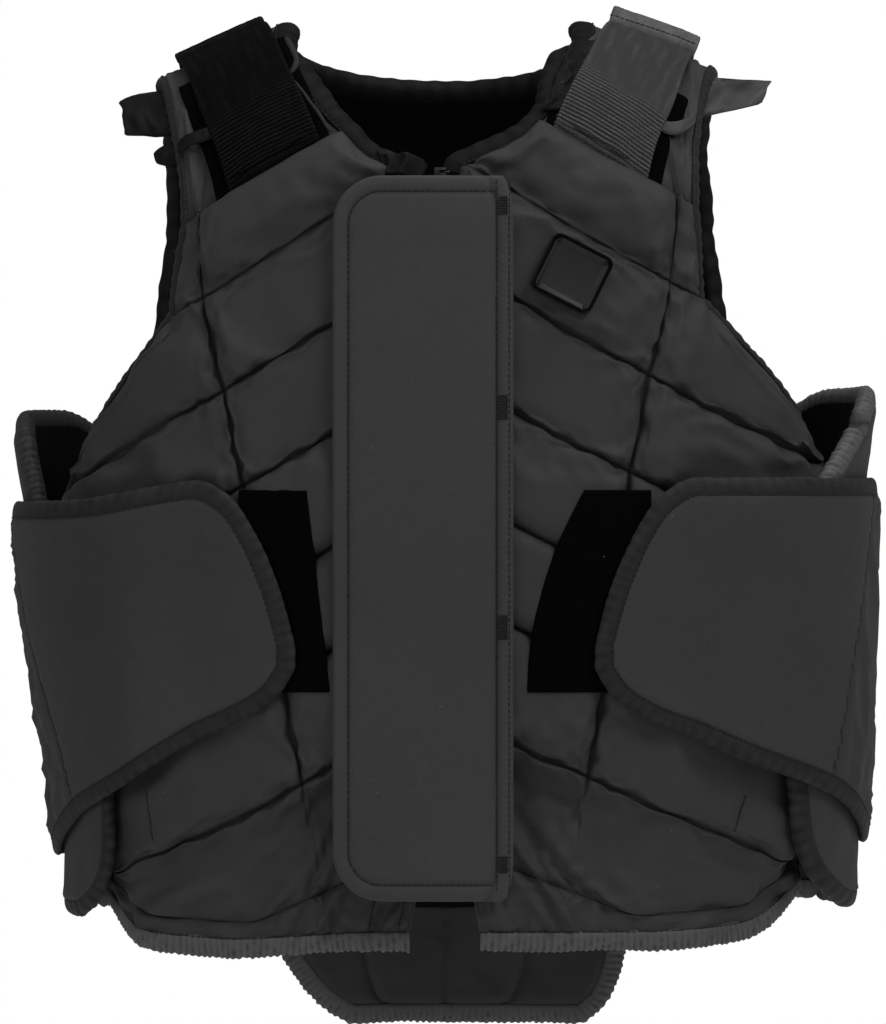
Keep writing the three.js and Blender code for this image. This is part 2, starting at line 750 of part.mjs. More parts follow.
// Loop patches on the front panels
const loopTop = 236;
const loopHeight = 106;
const loopInner = 60;
const loopReach = 108;
const patchLow = foam + gap;

sides.forEach(({ side, word }) => {
  const rows = [0, 0.2, 0.4, 0.6, 0.8, 1].map((down) => [0, 0.25, 0.5, 0.75, 1].map((share) => {
    const inner = side < 0 ? loopInner + 12 * (1 - down) : flapOuter + 7 + 30 * (1 - down) ** 2;
    const x = side * mix(inner, loopReach, share);
    return seat(x, -loopTop - loopHeight * down, patchLow);
  }));
  vest.add(sheet(`loop_patch_${word}`, loopPile, rows, () => patchLow, () => patchLow + loopTape));
});

// Shoulder straps. Walk is the way from the front end to the back end over the shoulder.
const strapLow = shoulderFoam + hookTape + 2 * (gap + facetRoom);
const strapShape = [
  { outer: 113, inner: 68, outerDown: 75, innerDown: 50 },
  { outer: 121, inner: 76, outerDown: 52, innerDown: 28 },
  { outer: 131, inner: 86, outerDown: 30, innerDown: 5 },
];
const strapRidge = { outer: 142, inner: 96 };

sides.forEach(({ side, word }) => {
  const across = [0, 0.04, 0.35, 0.65, 0.96, 1];
  const front = strapShape.map((row) => {
    const outer = seat(side * row.outer, -row.outerDown, strapLow);
    const inner = seat(side * row.inner, -row.innerDown, strapLow);
    return across.map((share) => mixPlace(inner, outer, share));
  });
  const outerTop = seat(side * strapRidge.outer, shoulderDrop, strapLow);
  const innerTop = seat(side * strapRidge.inner, shoulderDrop, strapLow);
  const over = (climb) => across.map((share) => ({ angle: mix(innerTop.angle, outerTop.angle, share), climb }));
  const fold = 14;
  const keys = [...front, over(shoulderWalk - fold), over(shoulderWalk - fold / 2), over(shoulderWalk),
    over(shoulderWalk + fold), over(shoulderWalk * 1.3), over(shoulderWalk * 1.6)];
  const { rows } = fillRows(keys, [0, 0.5]);
  const doubled = (i) => (i >= 6 && i <= 9 ? strapWeb * 0.7 : 0);
  vest.add(sheet(`shoulder_strap_${word}`, webbing, rows, () => strapLow, (i, j) => {
    const rim = j === 0 || j === 5;
    return strapLow + strapWeb + doubled(i) - (rim ? 0.6 : 0);
  }));

  const tapeLow = shoulderFoam + gap + facetRoom;
  const tapeRows = rows.slice(1, 6).map((row) => [0.8, 0.95, 1.12].map((share) => mixPlace(row[0], row[5], share)));
  vest.add(sheet(`hook_tape_${word}`, loopPile, tapeRows, () => tapeLow, () => tapeLow + hookTape));

  const walkAcross = (row, share, down) => ({
    angle: mix(row[0].angle, row[5].angle, share),
    climb: mix(row[0].climb, row[5].climb, share) - down,
  });
  const keeperStart = rows[3];
  const keeperRows = [1.05, 1.15, 1.3, 1.42].map((share, i) => [0, 1]
    .map((end) => walkAcross(keeperStart, share, end * keeperWidth - i * 3)));
  const keeperLift = (i) => tapeLow + hookTape + gap + (i === 3 ? -1.2 : 0);
  vest.add(sheet(`strap_keeper_${word}`, blackTape, keeperRows, (i) => keeperLift(i),
    (i) => keeperLift(i) + keeperWeb));
});

// Crumpled cloth tabs along the outer end of the shoulders
const tabReach = 17;
const tabWave = 2.2;
sides.forEach(({ word }, k) => {
  const last = fronts[k].rows[0].length - 1;
  const shoulder = fronts[k].rows.slice(0, 4);
  const edge = shoulder.map((row) => row[last]);
  const inward = shoulder.map((row) => row[last - 1]);
  const grid = (extra) => edge.slice(0, 3).map((place, i) => [0, 0.3, 0.65, 1].map((share, j) => {
    const frame = edgeFrame(edge, inward, i + 1);
    const wave = tabWave * Math.sin(i * 2.1 + j * 1.6 + k);
    const reach = armBinding + gap + tabReach * share * (1 - 0.22 * i);
    return frame.at(reach, shoulderFoam * 0.5 + (j > 0 ? wave : 0) - 5 * share + extra);
  }));
  vest.add(between(`shoulder_tab_${word}`, blackTape, grid(0), grid(tabCloth)));
});

// Rubber patch on the wearer's left chest, in line with the quilting
const patchOut = 71;
const patchDown = 123;
const patchTurn = Math.atan(frontSeams[1].slope * 0.9);
const labelLow = foam + gap;
const patchShares = [-0.5, -0.44, 0, 0.44, 0.5];
const patchRows = patchShares.map((v) => patchShares.map((u) => {
  const round = Math.abs(u) === 0.5 && Math.abs(v) === 0.5 ? 0.9 : 1;
  const across = u * patchWidth * round;
  const down = v * patchHeight * round;
  const x = patchOut + across * Math.cos(patchTurn) - down * Math.sin(patchTurn);
  const z = -patchDown - across * Math.sin(patchTurn) - down * Math.cos(patchTurn);
  return seat(x, z, labelLow);
}));
vest.add(sheet('label_patch', rubber, patchRows, () => labelLow, (i, j) => {
  const rim = i === 0 || j === 0 || i === 4 || j === 4;
  return labelLow + patchRubber + (rim ? 0 : -patchRim);
}));

export default vest;
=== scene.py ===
import math
import bpy
import numpy as np
from mathutils import Matrix, Vector


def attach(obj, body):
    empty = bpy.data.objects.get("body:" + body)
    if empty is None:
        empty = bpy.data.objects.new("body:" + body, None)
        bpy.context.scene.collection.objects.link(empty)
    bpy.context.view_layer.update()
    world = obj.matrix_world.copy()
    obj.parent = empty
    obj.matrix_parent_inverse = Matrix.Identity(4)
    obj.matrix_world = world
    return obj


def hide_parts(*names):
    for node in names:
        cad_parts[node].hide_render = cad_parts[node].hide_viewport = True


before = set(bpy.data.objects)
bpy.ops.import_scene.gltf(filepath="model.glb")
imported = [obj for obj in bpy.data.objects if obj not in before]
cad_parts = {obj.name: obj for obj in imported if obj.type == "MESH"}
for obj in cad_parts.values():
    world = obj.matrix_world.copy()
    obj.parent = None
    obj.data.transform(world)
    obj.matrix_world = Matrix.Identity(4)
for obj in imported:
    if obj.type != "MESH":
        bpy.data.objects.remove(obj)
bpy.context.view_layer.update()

mm = 0.001
print("frame loaded")

# The body that the vest fits, in millimetres. A place on it is an angle from the front centre and a climb.
body = {
    "width": 384, "depth": 210, "squareness": 2.3,
    "shoulderDrop": 110, "shoulderWalk": 160, "shoulderFall": 0.36, "lowerRight": 0.10,
    "neckReach": 90, "shoulderReach": 152, "frontLength": 478,
}

# Down is a share of the front length, the rest are shares of half the width and depth
bodySections = {
    "down": [0.0, 0.23, 0.48, 0.74, 1.0, 1.2],
    "width": [0.99, 1.0, 1.0, 0.99, 0.98, 0.98],
    "front": [0.94, 1.0, 1.05, 1.0, 1.03, 1.05],
    "back": [0.96, 1.02, 0.99, 0.93, 1.0, 1.04],
}


def readTable(table, key, column, at):
    xs = np.array(table[key], float)
    ys = np.array(table[column], float)
    at = np.clip(np.asarray(at, float), xs[0], xs[-1])
    steps = np.diff(xs)
    slopes = np.diff(ys) / steps
    tangents = np.empty(len(xs))
    tangents[0], tangents[-1] = slopes[0], slopes[-1]
    product = slopes[:-1] * slopes[1:]
    total = slopes[:-1] + slopes[1:]
    tangents[1:-1] = np.where(product <= 0, 0, 2 * product / np.where(total == 0, 1, total))
    i = np.clip(np.searchsorted(xs, at, side="right") - 1, 0, len(steps) - 1)
    t = (at - xs[i]) / steps[i]
    start, end, rise = tangents[i] * steps[i], tangents[i + 1] * steps[i], ys[i + 1] - ys[i]
    return ys[i] + t * start + t * t * (3 * rise - 2 * start - end) + t ** 3 * (start + end - 2 * rise)


def mix(a, b, t):
    return a + (b - a) * t


def smoothStep(low, high, at):
    t = np.clip((np.asarray(at, float) - low) / (high - low), 0, 1)
    return t * t * (3 - 2 * t)


def signedPower(value, power):
    return np.sign(value) * np.abs(value) ** power


def bodySkin(angle, climb):
    angle, climb = np.broadcast_arrays(np.asarray(angle, float), np.asarray(climb, float))
    over = climb > body["shoulderWalk"]
    angle = np.where(over, np.sign(angle) * math.pi - angle, angle)
    climb = np.where(over, 2 * body["shoulderWalk"] - climb, climb)
    level = -body["shoulderDrop"] + np.minimum(0, climb)
    at = -level / body["frontLength"]
    across = signedPower(np.sin(angle), 2 / body["squareness"])
    along = signedPower(np.cos(angle), 2 / body["squareness"])
    x = body["width"] / 2 * readTable(bodySections, "down", "width", at) * across
    deep = np.where(along > 0, readTable(bodySections, "down", "front", at),
                    readTable(bodySections, "down", "back", at))
    y = -body["depth"] / 2 * deep * along
    turn = np.clip(climb, 0, None) / body["shoulderWalk"] * math.pi / 2
    z = np.where(climb > 0, -body["shoulderDrop"] + archHeight(x) * np.sin(turn), level)
    return np.stack([x, y * np.cos(turn), z], axis=-1)


def archHeight(x):
    # The shoulders slope down, a little more on the wearer's right
    beyond = np.clip(-x - body["neckReach"], 0, None)
    slope = body["shoulderFall"] * (np.abs(x) - body["neckReach"])
    return body["shoulderDrop"] - slope - body["lowerRight"] * beyond


def wordOf(side):
    return "right" if side < 0 else "left"


def unit(vectors):
    return vectors / np.maximum(np.linalg.norm(vectors, axis=-1, keepdims=True), 1e-12)


def bodyNormal(angle, climb):
    turn, walk = 0.004, 0.4
    around = bodySkin(angle + turn, climb) - bodySkin(angle - turn, climb)
    up = bodySkin(angle, climb + walk) - bodySkin(angle, climb - walk)
    return unit(np.cross(around, up))


def lifted(angle, climb, lift):
    lift = np.broadcast_to(np.asarray(lift, float), np.broadcast(angle, climb).shape)
    return bodySkin(angle, climb) + bodyNormal(angle, climb) * lift[..., None]


def seat(x, z, lift, behind=False):
    # The angle and climb whose lifted point is at x and z in the front view
    x, z, lift = np.broadcast_arrays(np.asarray(x, float), np.asarray(z, float), np.asarray(lift, float))
    side = np.where(x < 0, -1.0, 1.0)
    low = z.copy()
    for _ in range(7):
        first = np.full(x.shape, math.pi / 2 if behind else 0.0)
        last = np.full(x.shape, math.pi if behind else math.pi / 2)
        rise = np.clip((low + body["shoulderDrop"]) / archHeight(x), None, 1)
        over = np.arcsin(np.clip(rise, 0, 1)) * body["shoulderWalk"] / (math.pi / 2)
        climb = np.where(rise <= 0, low + body["shoulderDrop"], over)
        for _ in range(20):
            angle = (first + last) / 2
            narrow = np.abs(lifted(side * angle, climb, lift)[..., 0]) < np.abs(x)
            narrow = narrow != behind
            first = np.where(narrow, angle, first)
            last = np.where(narrow, last, angle)
        angle = side * (first + last) / 2
        low = low + z - lifted(angle, climb, lift)[..., 2]
    return angle, climb


def waves(a, b, seed, size, octaves=3):
    # Smooth seeded noise between -1 and 1 over two coordinates in millimetres
    random = np.random.default_rng(seed)
    total = np.zeros(np.broadcast(a, b).shape)
    weight = 0.0
    for octave in range(octaves):
        for _ in range(5):
            heading, phase = random.uniform(0, math.tau, 2)
            pitch = size / 2 ** octave * random.uniform(0.7, 1.4)
            place = a * math.cos(heading) + b * math.sin(heading)
            total += np.sin(place * math.tau / pitch + phase) / 2 ** octave
        weight += 5 / 2 ** octave
    return total / weight * 1.8


def creases(a, b, seed, size, sharp=3.0):
    # Narrow ridges that wander, between 0 and 1
    return (1 - np.minimum(np.abs(waves(a, b, seed, size, 2)), 1)) ** sharp


def upsample(grid, times, axes=(0, 1)):
    # Points between the points, on a Catmull-Rom curve both ways
    for axis in axes:
        rows = np.moveaxis(grid, axis, 0)
        padded = np.concatenate([2 * rows[:1] - rows[1:2], rows, 2 * rows[-1:] - rows[-2:-1]])
        a, b, c, d = padded[:-3], padded[1:-2], padded[2:-1], padded[3:]
        fine = []
        for step in range(times):
            t = step / times
            fine.append(b + 0.5 * t * (c - a + t * (2 * a - 5 * b + 4 * c - d + t * (3 * (b - c) + d - a))))
        mixed = np.stack(fine, axis=1).reshape((-1,) + rows.shape[1:])
        grid = np.moveaxis(np.concatenate([mixed, rows[-1:]]), 0, axis)
    return grid


def gridNormals(grid, like):
    # Normals of a grid of points, turned to the side that like points to
    normals = unit(np.cross(np.gradient(grid, axis=1), np.gradient(grid, axis=0)))
    return normals * (1 if (normals * like).sum() > 0 else -1)


def pathNormals(line, normals):
    along = unit(np.gradient(line, axis=0))
    return along, unit(normals - along * (along * normals).sum(-1, keepdims=True))


def resample(line, pitch, *others):
    # Even steps along a line of points, with whatever goes with each point
    steps = np.linalg.norm(np.diff(line, axis=0), axis=1)
    walked = np.concatenate([[0], np.cumsum(steps)])
    count = max(2, int(round(walked[-1] / pitch)) + 1)
    at = np.linspace(0, walked[-1], count)

    def pick(values):
        values = np.asarray(values, float)
        if values.ndim == 1:
            return np.interp(at, walked, values)
        return np.stack([np.interp(at, walked, values[:, k]) for k in range(values.shape[1])], axis=1)

    return [pick(line), at] + [pick(other) for other in others]


def spread(count, crowd=0.11):
    # Shares from 0 to 1 that crowd towards both ends
    t = np.linspace(0, 1, count + 1)
    return t - crowd * np.sin(math.tau * t)


def roundRise(distance, width):
    # Quarter of an ellipse: how far padding has risen at a distance from its seam
    near = 1 - np.clip(distance / width, 0, 1)
    return np.sqrt(np.clip(1 - near * near, 0, 1))


# The vest hangs a little askew: lower on the wearer's right, drawn in at that side's lower end
hang = {"drop": 8.5, "sideDrop": 4, "drawnIn": 17, "chestOut": 4, "leftIn": 5, "leftNeckIn": 4}
# Where each of these sets in, in millimetres out from the centre or below the shoulders
hangSpans = {
    "right": (35, 120), "rightClosed": (110, 190), "low": (-60, -125), "hem": (-400, -460),
    "outer": (150, 215), "waist": (-330, -280), "lowerEnd": (-245, -415), "outerEnd": (150, 222),
    "chest": (-330, -230), "chestFrom": (60, 105), "chestTo": (170, 130), "leftFrom": (25, 75),
    "leftTo": (190, 150), "neck": (-90, -50),
}


def hangAskew(name, points):
    if "flap_" in name and not name.startswith("tail") or name.startswith("front_zip"):
        return points

    def reached(span, at):
        return smoothStep(*hangSpans[span], at)

    x, z = points[:, 0], points[:, 2]
    closed = "wing" in name or "loop_patch" in name  # these keep their tips where they close
    right = reached("rightClosed" if closed else "right", -x)
    low, chest = reached("low", z), reached("chest", z)
    moved = np.array(points, float)
    moved[:, 2] -= hang["drop"] * right * low * mix(1, 0.5, reached("hem", z))
    moved[:, 2] -= hang["sideDrop"] * reached("outer", -x) * reached("waist", z) * low
    moved[:, 0] += hang["drawnIn"] * reached("lowerEnd", z) * reached("outerEnd", -x)
    if not closed:
        moved[:, 0] -= hang["chestOut"] * (low * chest) * reached("chestFrom", -x) * reached("chestTo", -x)
        left = reached("leftFrom", x) * reached("leftTo", x)
        moved[:, 0] -= left * (hang["leftIn"] * chest + hang["leftNeckIn"] * reached("neck", z))
    return moved


def makeMesh(name, points, faces, uv=None, masks=None):
    # Points in millimetres. Faces are turned so that they point outwards.
    points = hangAskew(name, np.asarray(points, float)) * mm
    faces = np.asarray(faces)
    centre = points.mean(axis=0)
    a, b, c = (points[faces[:, k]] - centre for k in range(3))
    volume = (a * np.cross(b, c)).sum()
    if faces.shape[1] == 4:
        d = points[faces[:, 3]] - centre
        volume += (a * np.cross(c, d)).sum()
    if volume < 0:
        faces = faces[:, ::-1]
    mesh = bpy.data.meshes.new(name)
    mesh.from_pydata(points.tolist(), [], faces.tolist())
    mesh.update()
    mesh.polygons.foreach_set("use_smooth", np.ones(len(mesh.polygons), bool))
    if uv is not None:
        corners = np.empty(len(mesh.loops), int)
        mesh.loops.foreach_get("vertex_index", corners)
        layer = mesh.uv_layers.new(name="cloth")
        layer.data.foreach_set("uv", (np.asarray(uv, float) * mm)[corners].ravel())
    for label, values in (masks or {}).items():
        attribute = mesh.attributes.new(label, "FLOAT", "POINT")
        attribute.data.foreach_set("value", np.asarray(values, np.float32).ravel())
    piece = bpy.data.objects.new(name, mesh)
    bpy.context.scene.collection.objects.link(piece)
    return piece


def makeShell(name, inner, outer, uv, masks=None):
    # A closed piece between two grids of points
    height, width = outer.shape[:2]
    size = height * width
    index = np.arange(size).reshape(height, width)

    def quads(cells):
        return np.stack([cells[:-1, :-1], cells[:-1, 1:], cells[1:, 1:], cells[1:, :-1]], -1).reshape(-1, 4)

    loop = np.concatenate([index[0, :-1], index[:-1, -1], index[-1, :0:-1], index[:0:-1, 0]])
    ahead = np.roll(loop, -1)
    rim = np.stack([loop + size, loop, ahead, ahead + size], -1)
    faces = np.concatenate([quads(index + size), quads(index)[:, ::-1], rim])
    points = np.concatenate([inner.reshape(-1, 3), outer.reshape(-1, 3)])
    flat = uv.reshape(-1, 2)
    cells = (height - 1) * (width - 1)
    both = {}
    for label, values in (masks or {}).items():
        values = np.broadcast_to(values, (height, width)).ravel()
        both[label] = np.concatenate([values, values])
    piece = makeMesh(name, points, faces, np.concatenate([flat, flat]), both)
    side = np.zeros(len(faces), int)
    side[cells:2 * cells] = 1  # the lining side, for a second material
    piece.data.attributes.new("lined", "INT", "FACE").data.foreach_set("value", side)
    return piece


def clothCoordinates(grid):
    # Lengths along the rows and columns of a grid, in millimetres, for the cloth's pattern
    across = np.linalg.norm(np.diff(grid, axis=1), axis=-1)
    down = np.linalg.norm(np.diff(grid, axis=0), axis=-1)
    u = np.concatenate([np.zeros((grid.shape[0], 1)), np.cumsum(across, axis=1)], axis=1)
    v = np.concatenate([np.zeros((1, grid.shape[1])), np.cumsum(down, axis=0)], axis=0)
    middle = grid.shape[1] // 2
    return np.stack([u - u[:, middle:middle + 1], -v], axis=-1)


def cutOf(piece, cloth, held, on):
    # What a sheet was cut to, from its pattern coordinates and half of its closed surface
    width, length = np.maximum(np.ptp(cloth.reshape(-1, 2), axis=0) * mm, 0.0101)
    area = sum(face.area for face in piece.data.polygons) / 2
    area = min(max(area, 0.31 * width * length), width * length)
    return {"flat": (float(width), float(length)), "held": held, "rests_on": on, "area": float(area)}


# Slack cloth over its foam, simulated once between its sewn lines
slackCloth = {"slack": 0.05, "pressure": 4.0, "frames": 20, "travel": 3.2, "outward": 1.3, "stiff": 12.0,
              "shear": 3.0, "bend": 0.05, "quality": 5, "mass": 0.2}


def puckerCloth(name, grid, outwards, sewn):
    # The grid of points in millimetres after a short cloth simulation. Sewn is 1 where the cloth is held.
    height, width = grid.shape[:2]
    index = np.arange(height * width).reshape(height, width)
    faces = np.stack([index[:-1, :-1], index[:-1, 1:], index[1:, 1:], index[1:, :-1]], -1).reshape(-1, 4)
    facing = unit(np.cross(np.gradient(grid, axis=1), np.gradient(grid, axis=0)))
    if (gridNormals(grid, outwards) * facing).sum() > 0:
        faces = faces[:, ::-1]
    mesh = bpy.data.meshes.new(name)
    mesh.from_pydata((grid.reshape(-1, 3) * mm).tolist(), [], faces.tolist())
    piece = bpy.data.objects.new(name, mesh)
    bpy.context.scene.collection.objects.link(piece)
    held = piece.vertex_groups.new(name="sewn")
    for level in np.unique(np.round(sewn, 1)):
        held.add(np.flatnonzero(np.round(sewn.ravel(), 1) == level).tolist(), float(level), "REPLACE")
    cloth = piece.modifiers.new("cloth", "CLOTH")
    settings = cloth.settings
    settings.quality, settings.mass = slackCloth["quality"], slackCloth["mass"]
    settings.tension_stiffness = settings.compression_stiffness = slackCloth["stiff"]
    settings.shear_stiffness, settings.bending_stiffness = slackCloth["shear"], slackCloth["bend"]
    settings.vertex_group_mass, settings.pin_stiffness = "sewn", 1.0
    settings.use_pressure, settings.uniform_pressure_force = True, slackCloth["pressure"]
    settings.shrink_min = settings.shrink_max = -slackCloth["slack"]
    settings.effector_weights.gravity = 0
    cloth.collision_settings.use_collision = False
    cloth.point_cache.frame_start, cloth.point_cache.frame_end = 1, slackCloth["frames"]
    for step in range(1, slackCloth["frames"] + 1):
        bpy.context.scene.frame_set(step)
    settled = piece.evaluated_get(bpy.context.evaluated_depsgraph_get()).to_mesh()
    places = np.empty(len(settled.vertices) * 3, np.float32)
    settled.vertices.foreach_get("co", places)
    bpy.data.objects.remove(piece)
    bpy.context.scene.frame_set(1)
    moved = places.reshape(grid.shape).astype(float) / mm - grid
    far = np.linalg.norm(moved, axis=-1, keepdims=True)
    print(name, "moved", round(float(far.mean()), 2), "mm, at most", round(float(far.max()), 2))
    moved *= slackCloth["travel"] * np.tanh(far / slackCloth["travel"]) / np.maximum(far, 1e-6)
    out = (moved * outwards).sum(-1, keepdims=True)
    kept = np.where(out > 0, slackCloth["outward"] * np.tanh(out / slackCloth["outward"]), out)
    moved += outwards * (kept - out)
    return grid + moved * (1 - np.clip(sewn, 0, 1))[..., None]


def finishPiece(piece, material, slot, *nodes, padded=None, sheet=None, lining=None):
    piece.data.materials.append(material)
    if lining is not None:
        piece.data.materials.append(lining)
        side = np.empty(len(piece.data.polygons), int)
        piece.data.attributes["lined"].data.foreach_get("value", side)
        piece.data.polygons.foreach_set("material_index", side)
    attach(piece, "root")
    if nodes:
        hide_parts(*nodes)
    return piece


def makeSheet(name, inner, outer, cloth, masks, material, slot, nodes, held, on):
    piece = makeShell(name, inner, outer, cloth, masks)
    finishPiece(piece, material, slot, *nodes, sheet=cutOf(piece, cloth, held, on))


def makeStitches(name, lines, pitch=3.2, length=2.9, radius=0.4, lift=0.1):
    # One mesh of short threads: each line is its points and the normals under them
    points, faces, start = [], [], 0
    ring = 5
    turns = np.arange(ring) * math.tau / ring
    for line, normals in lines:
        middle, _, up = resample(np.asarray(line), pitch, normals)
        if len(middle) < 3:
            continue
        along, up = pathNormals(middle, up)
        beside = np.cross(along, up)
        for centre, ahead, side, out in zip(middle[:-1], along, beside, up):
            stations = ((-0.5, 0.35, -0.3), (-0.3, 1, 0), (0.3, 1, 0), (0.5, 0.35, -0.3))
            rows = [centre + ahead * (share * length) + out * (lift + dip * radius * 2)
                    + radius * swell * (np.cos(turns)[:, None] * side + np.sin(turns)[:, None] * out)
                    for share, swell, dip in stations]
            points.append(np.concatenate(rows))
            for k in range(3):
                for s in range(ring):
                    a, b = start + k * ring + s, start + k * ring + (s + 1) % ring
                    faces.append([a, b, b + ring, a + ring])
            start += ring * len(stations)
    return makeMesh(name, np.concatenate(points), faces)


# Materials. Cloth patterns read the cloth UV map, which is in metres along the cloth.
def addNode(tree, kind, settings=None, **inputs):
    node = tree.nodes.new(kind)
    for key, value in (settings or {}).items():
        setattr(node, key, value)
    for key, value in inputs.items():
        socket = node.inputs[int(key[1:])] if key[0] == "i" and key[1:].isdigit() else node.inputs[key]
        if isinstance(value, bpy.types.NodeSocket):
            tree.links.new(value, socket)
        else:
            socket.default_value = value
    return node


def calc(tree, operation, *values, clamp=False):
    settings = {"operation": operation, "use_clamp": clamp}
    inputs = {f"i{k}": value for k, value in enumerate(values)}
    return addNode(tree, "ShaderNodeMath", settings, **inputs).outputs[0]


def newGroup(name, inputs, outputs):
    tree = bpy.data.node_groups.new(name, "ShaderNodeTree")
    for label, kind, value in inputs:
        socket = tree.interface.new_socket(label, in_out="INPUT", socket_type="NodeSocket" + kind)
        if value is not None:
            socket.default_value = value
    for label, kind in outputs:
        tree.interface.new_socket(label, in_out="OUTPUT", socket_type="NodeSocket" + kind)
    start = tree.nodes.new("NodeGroupInput")
    end = tree.nodes.new("NodeGroupOutput")
    return tree, start.outputs, end.inputs


def wovenThreadsGroup():
    # Threads over and under each other, pitch in millimetres
    tree, given, out = newGroup("wovenThreads", [("Place", "Vector", None), ("Across", "Float", 0.6),
                                                 ("Down", "Float", 0.6), ("Uneven", "Float", 0.3)],
                                [("Height", "Float"), ("Gaps", "Float")])
    noise = addNode(tree, "ShaderNodeTexNoise", Vector=given["Place"], Scale=900.0, Detail=2.0)
    apart = addNode(tree, "ShaderNodeSeparateXYZ", Vector=given["Place"])
    shift = calc(tree, "MULTIPLY", calc(tree, "SUBTRACT", noise.outputs[0], 0.5), given["Uneven"])

    def wave(side, pitch):
        turns = calc(tree, "DIVIDE", calc(tree, "MULTIPLY", side, math.pi * 1000), pitch)
        return calc(tree, "SINE", calc(tree, "ADD", turns, shift))

    across, down = wave(apart.outputs[0], given["Across"]), wave(apart.outputs[1], given["Down"])
    both = calc(tree, "MULTIPLY", across, down)
    tree.links.new(calc(tree, "MULTIPLY_ADD", both, 0.5, 0.5), out["Height"])
    ridge = calc(tree, "MULTIPLY", calc(tree, "ABSOLUTE", across), calc(tree, "ABSOLUTE", down))
    tree.links.new(calc(tree, "SUBTRACT", 1.0, calc(tree, "POWER", ridge, 0.4)), out["Gaps"])
    return tree


def threadStreaksGroup():
    # Slubs: short streaks along the weft, from 0 to 1
    tree, given, out = newGroup("threadStreaks", [("Place", "Vector", None), ("Length", "Float", 9.0),
                                                  ("Width", "Float", 0.7)], [("Streak", "Float")])
    apart = addNode(tree, "ShaderNodeSeparateXYZ", Vector=given["Place"])
    u = calc(tree, "DIVIDE", calc(tree, "MULTIPLY", apart.outputs[0], 1000.0), given["Length"])
    v = calc(tree, "DIVIDE", calc(tree, "MULTIPLY", apart.outputs[1], 1000.0), given["Width"])
    place = addNode(tree, "ShaderNodeCombineXYZ", X=u, Y=v)
    noise = addNode(tree, "ShaderNodeTexNoise", Vector=place.outputs[0], Scale=1.0, Detail=3.0, Roughness=0.6)
    spreadOut = addNode(tree, "ShaderNodeMapRange", i0=noise.outputs[0], i1=0.3, i2=0.7)
    tree.links.new(spreadOut.outputs[0], out["Streak"])
    return tree


def fadedPatchesGroup():
    # Broad uneven fading and finer mottling over the Object coordinates, from 0 to 1
    tree, given, out = newGroup("fadedPatches", [("Place", "Vector", None), ("Broad", "Float", 14.0),
                                                 ("Fine", "Float", 160.0)],
                                [("Fade", "Float"), ("Mottle", "Float")])
    broad = addNode(tree, "ShaderNodeTexNoise", Vector=given["Place"], Scale=given["Broad"], Detail=3.0)
    fine = addNode(tree, "ShaderNodeTexNoise", Vector=given["Place"], Scale=given["Fine"], Detail=4.0,
                   Roughness=0.65)
    for noise, label in ((broad, "Fade"), (fine, "Mottle")):
        stretched = addNode(tree, "ShaderNodeMapRange", i0=noise.outputs[0], i1=0.3, i2=0.7)
        tree.links.new(stretched.outputs[0], out[label])
    return tree


def lintGroup():
    # Sparse pale specks of dust and lint
    tree, given, out = newGroup("lint", [("Place", "Vector", None), ("Spacing", "Float", 420.0),
                                         ("Amount", "Float", 0.04)], [("Mask", "Float")])
    cells = addNode(tree, "ShaderNodeTexVoronoi", Vector=given["Place"], Scale=given["Spacing"])
    chosen = addNode(tree, "ShaderNodeSeparateColor", Color=cells.outputs["Color"])
    rare = calc(tree, "LESS_THAN", chosen.outputs[0], given["Amount"])
    near = addNode(tree, "ShaderNodeMapRange", i0=cells.outputs["Distance"], i1=0.28, i2=0.08)
    tree.links.new(calc(tree, "MULTIPLY", rare, near.outputs[0]), out["Mask"])
    return tree


wovenThreads = wovenThreadsGroup()
threadStreaks = threadStreaksGroup()
fadedPatches = fadedPatchesGroup()
lint = lintGroup()


def useGroup(tree, group, **inputs):
    return addNode(tree, "ShaderNodeGroup", {"node_tree": group}, **inputs)


def mixColour(tree, share, first, second):
    node = addNode(tree, "ShaderNodeMix", {"data_type": "RGBA"})
    for socket, value in ((node.inputs[0], share), (node.inputs[6], first), (node.inputs[7], second)):
        if isinstance(value, bpy.types.NodeSocket):
            tree.links.new(value, socket)
        else:
            socket.default_value = value
    return node.outputs[2]


def grey(level, warmth=0.0):
    return (level * (1 + warmth), level, level * (1 - warmth), 1)


def shades(dark, pale, thread, deep, worn, warmth=0.0):
    # A cloth's ground where dark and where faded, its streaks, the dark of its thread gaps and of its painted
    # fold shade, and the pale of its worn edges and painted highlights
    return {"dark": grey(dark, warmth), "pale": grey(pale, warmth), "thread": grey(thread),
            "deep": grey(deep), "worn": grey(worn)}


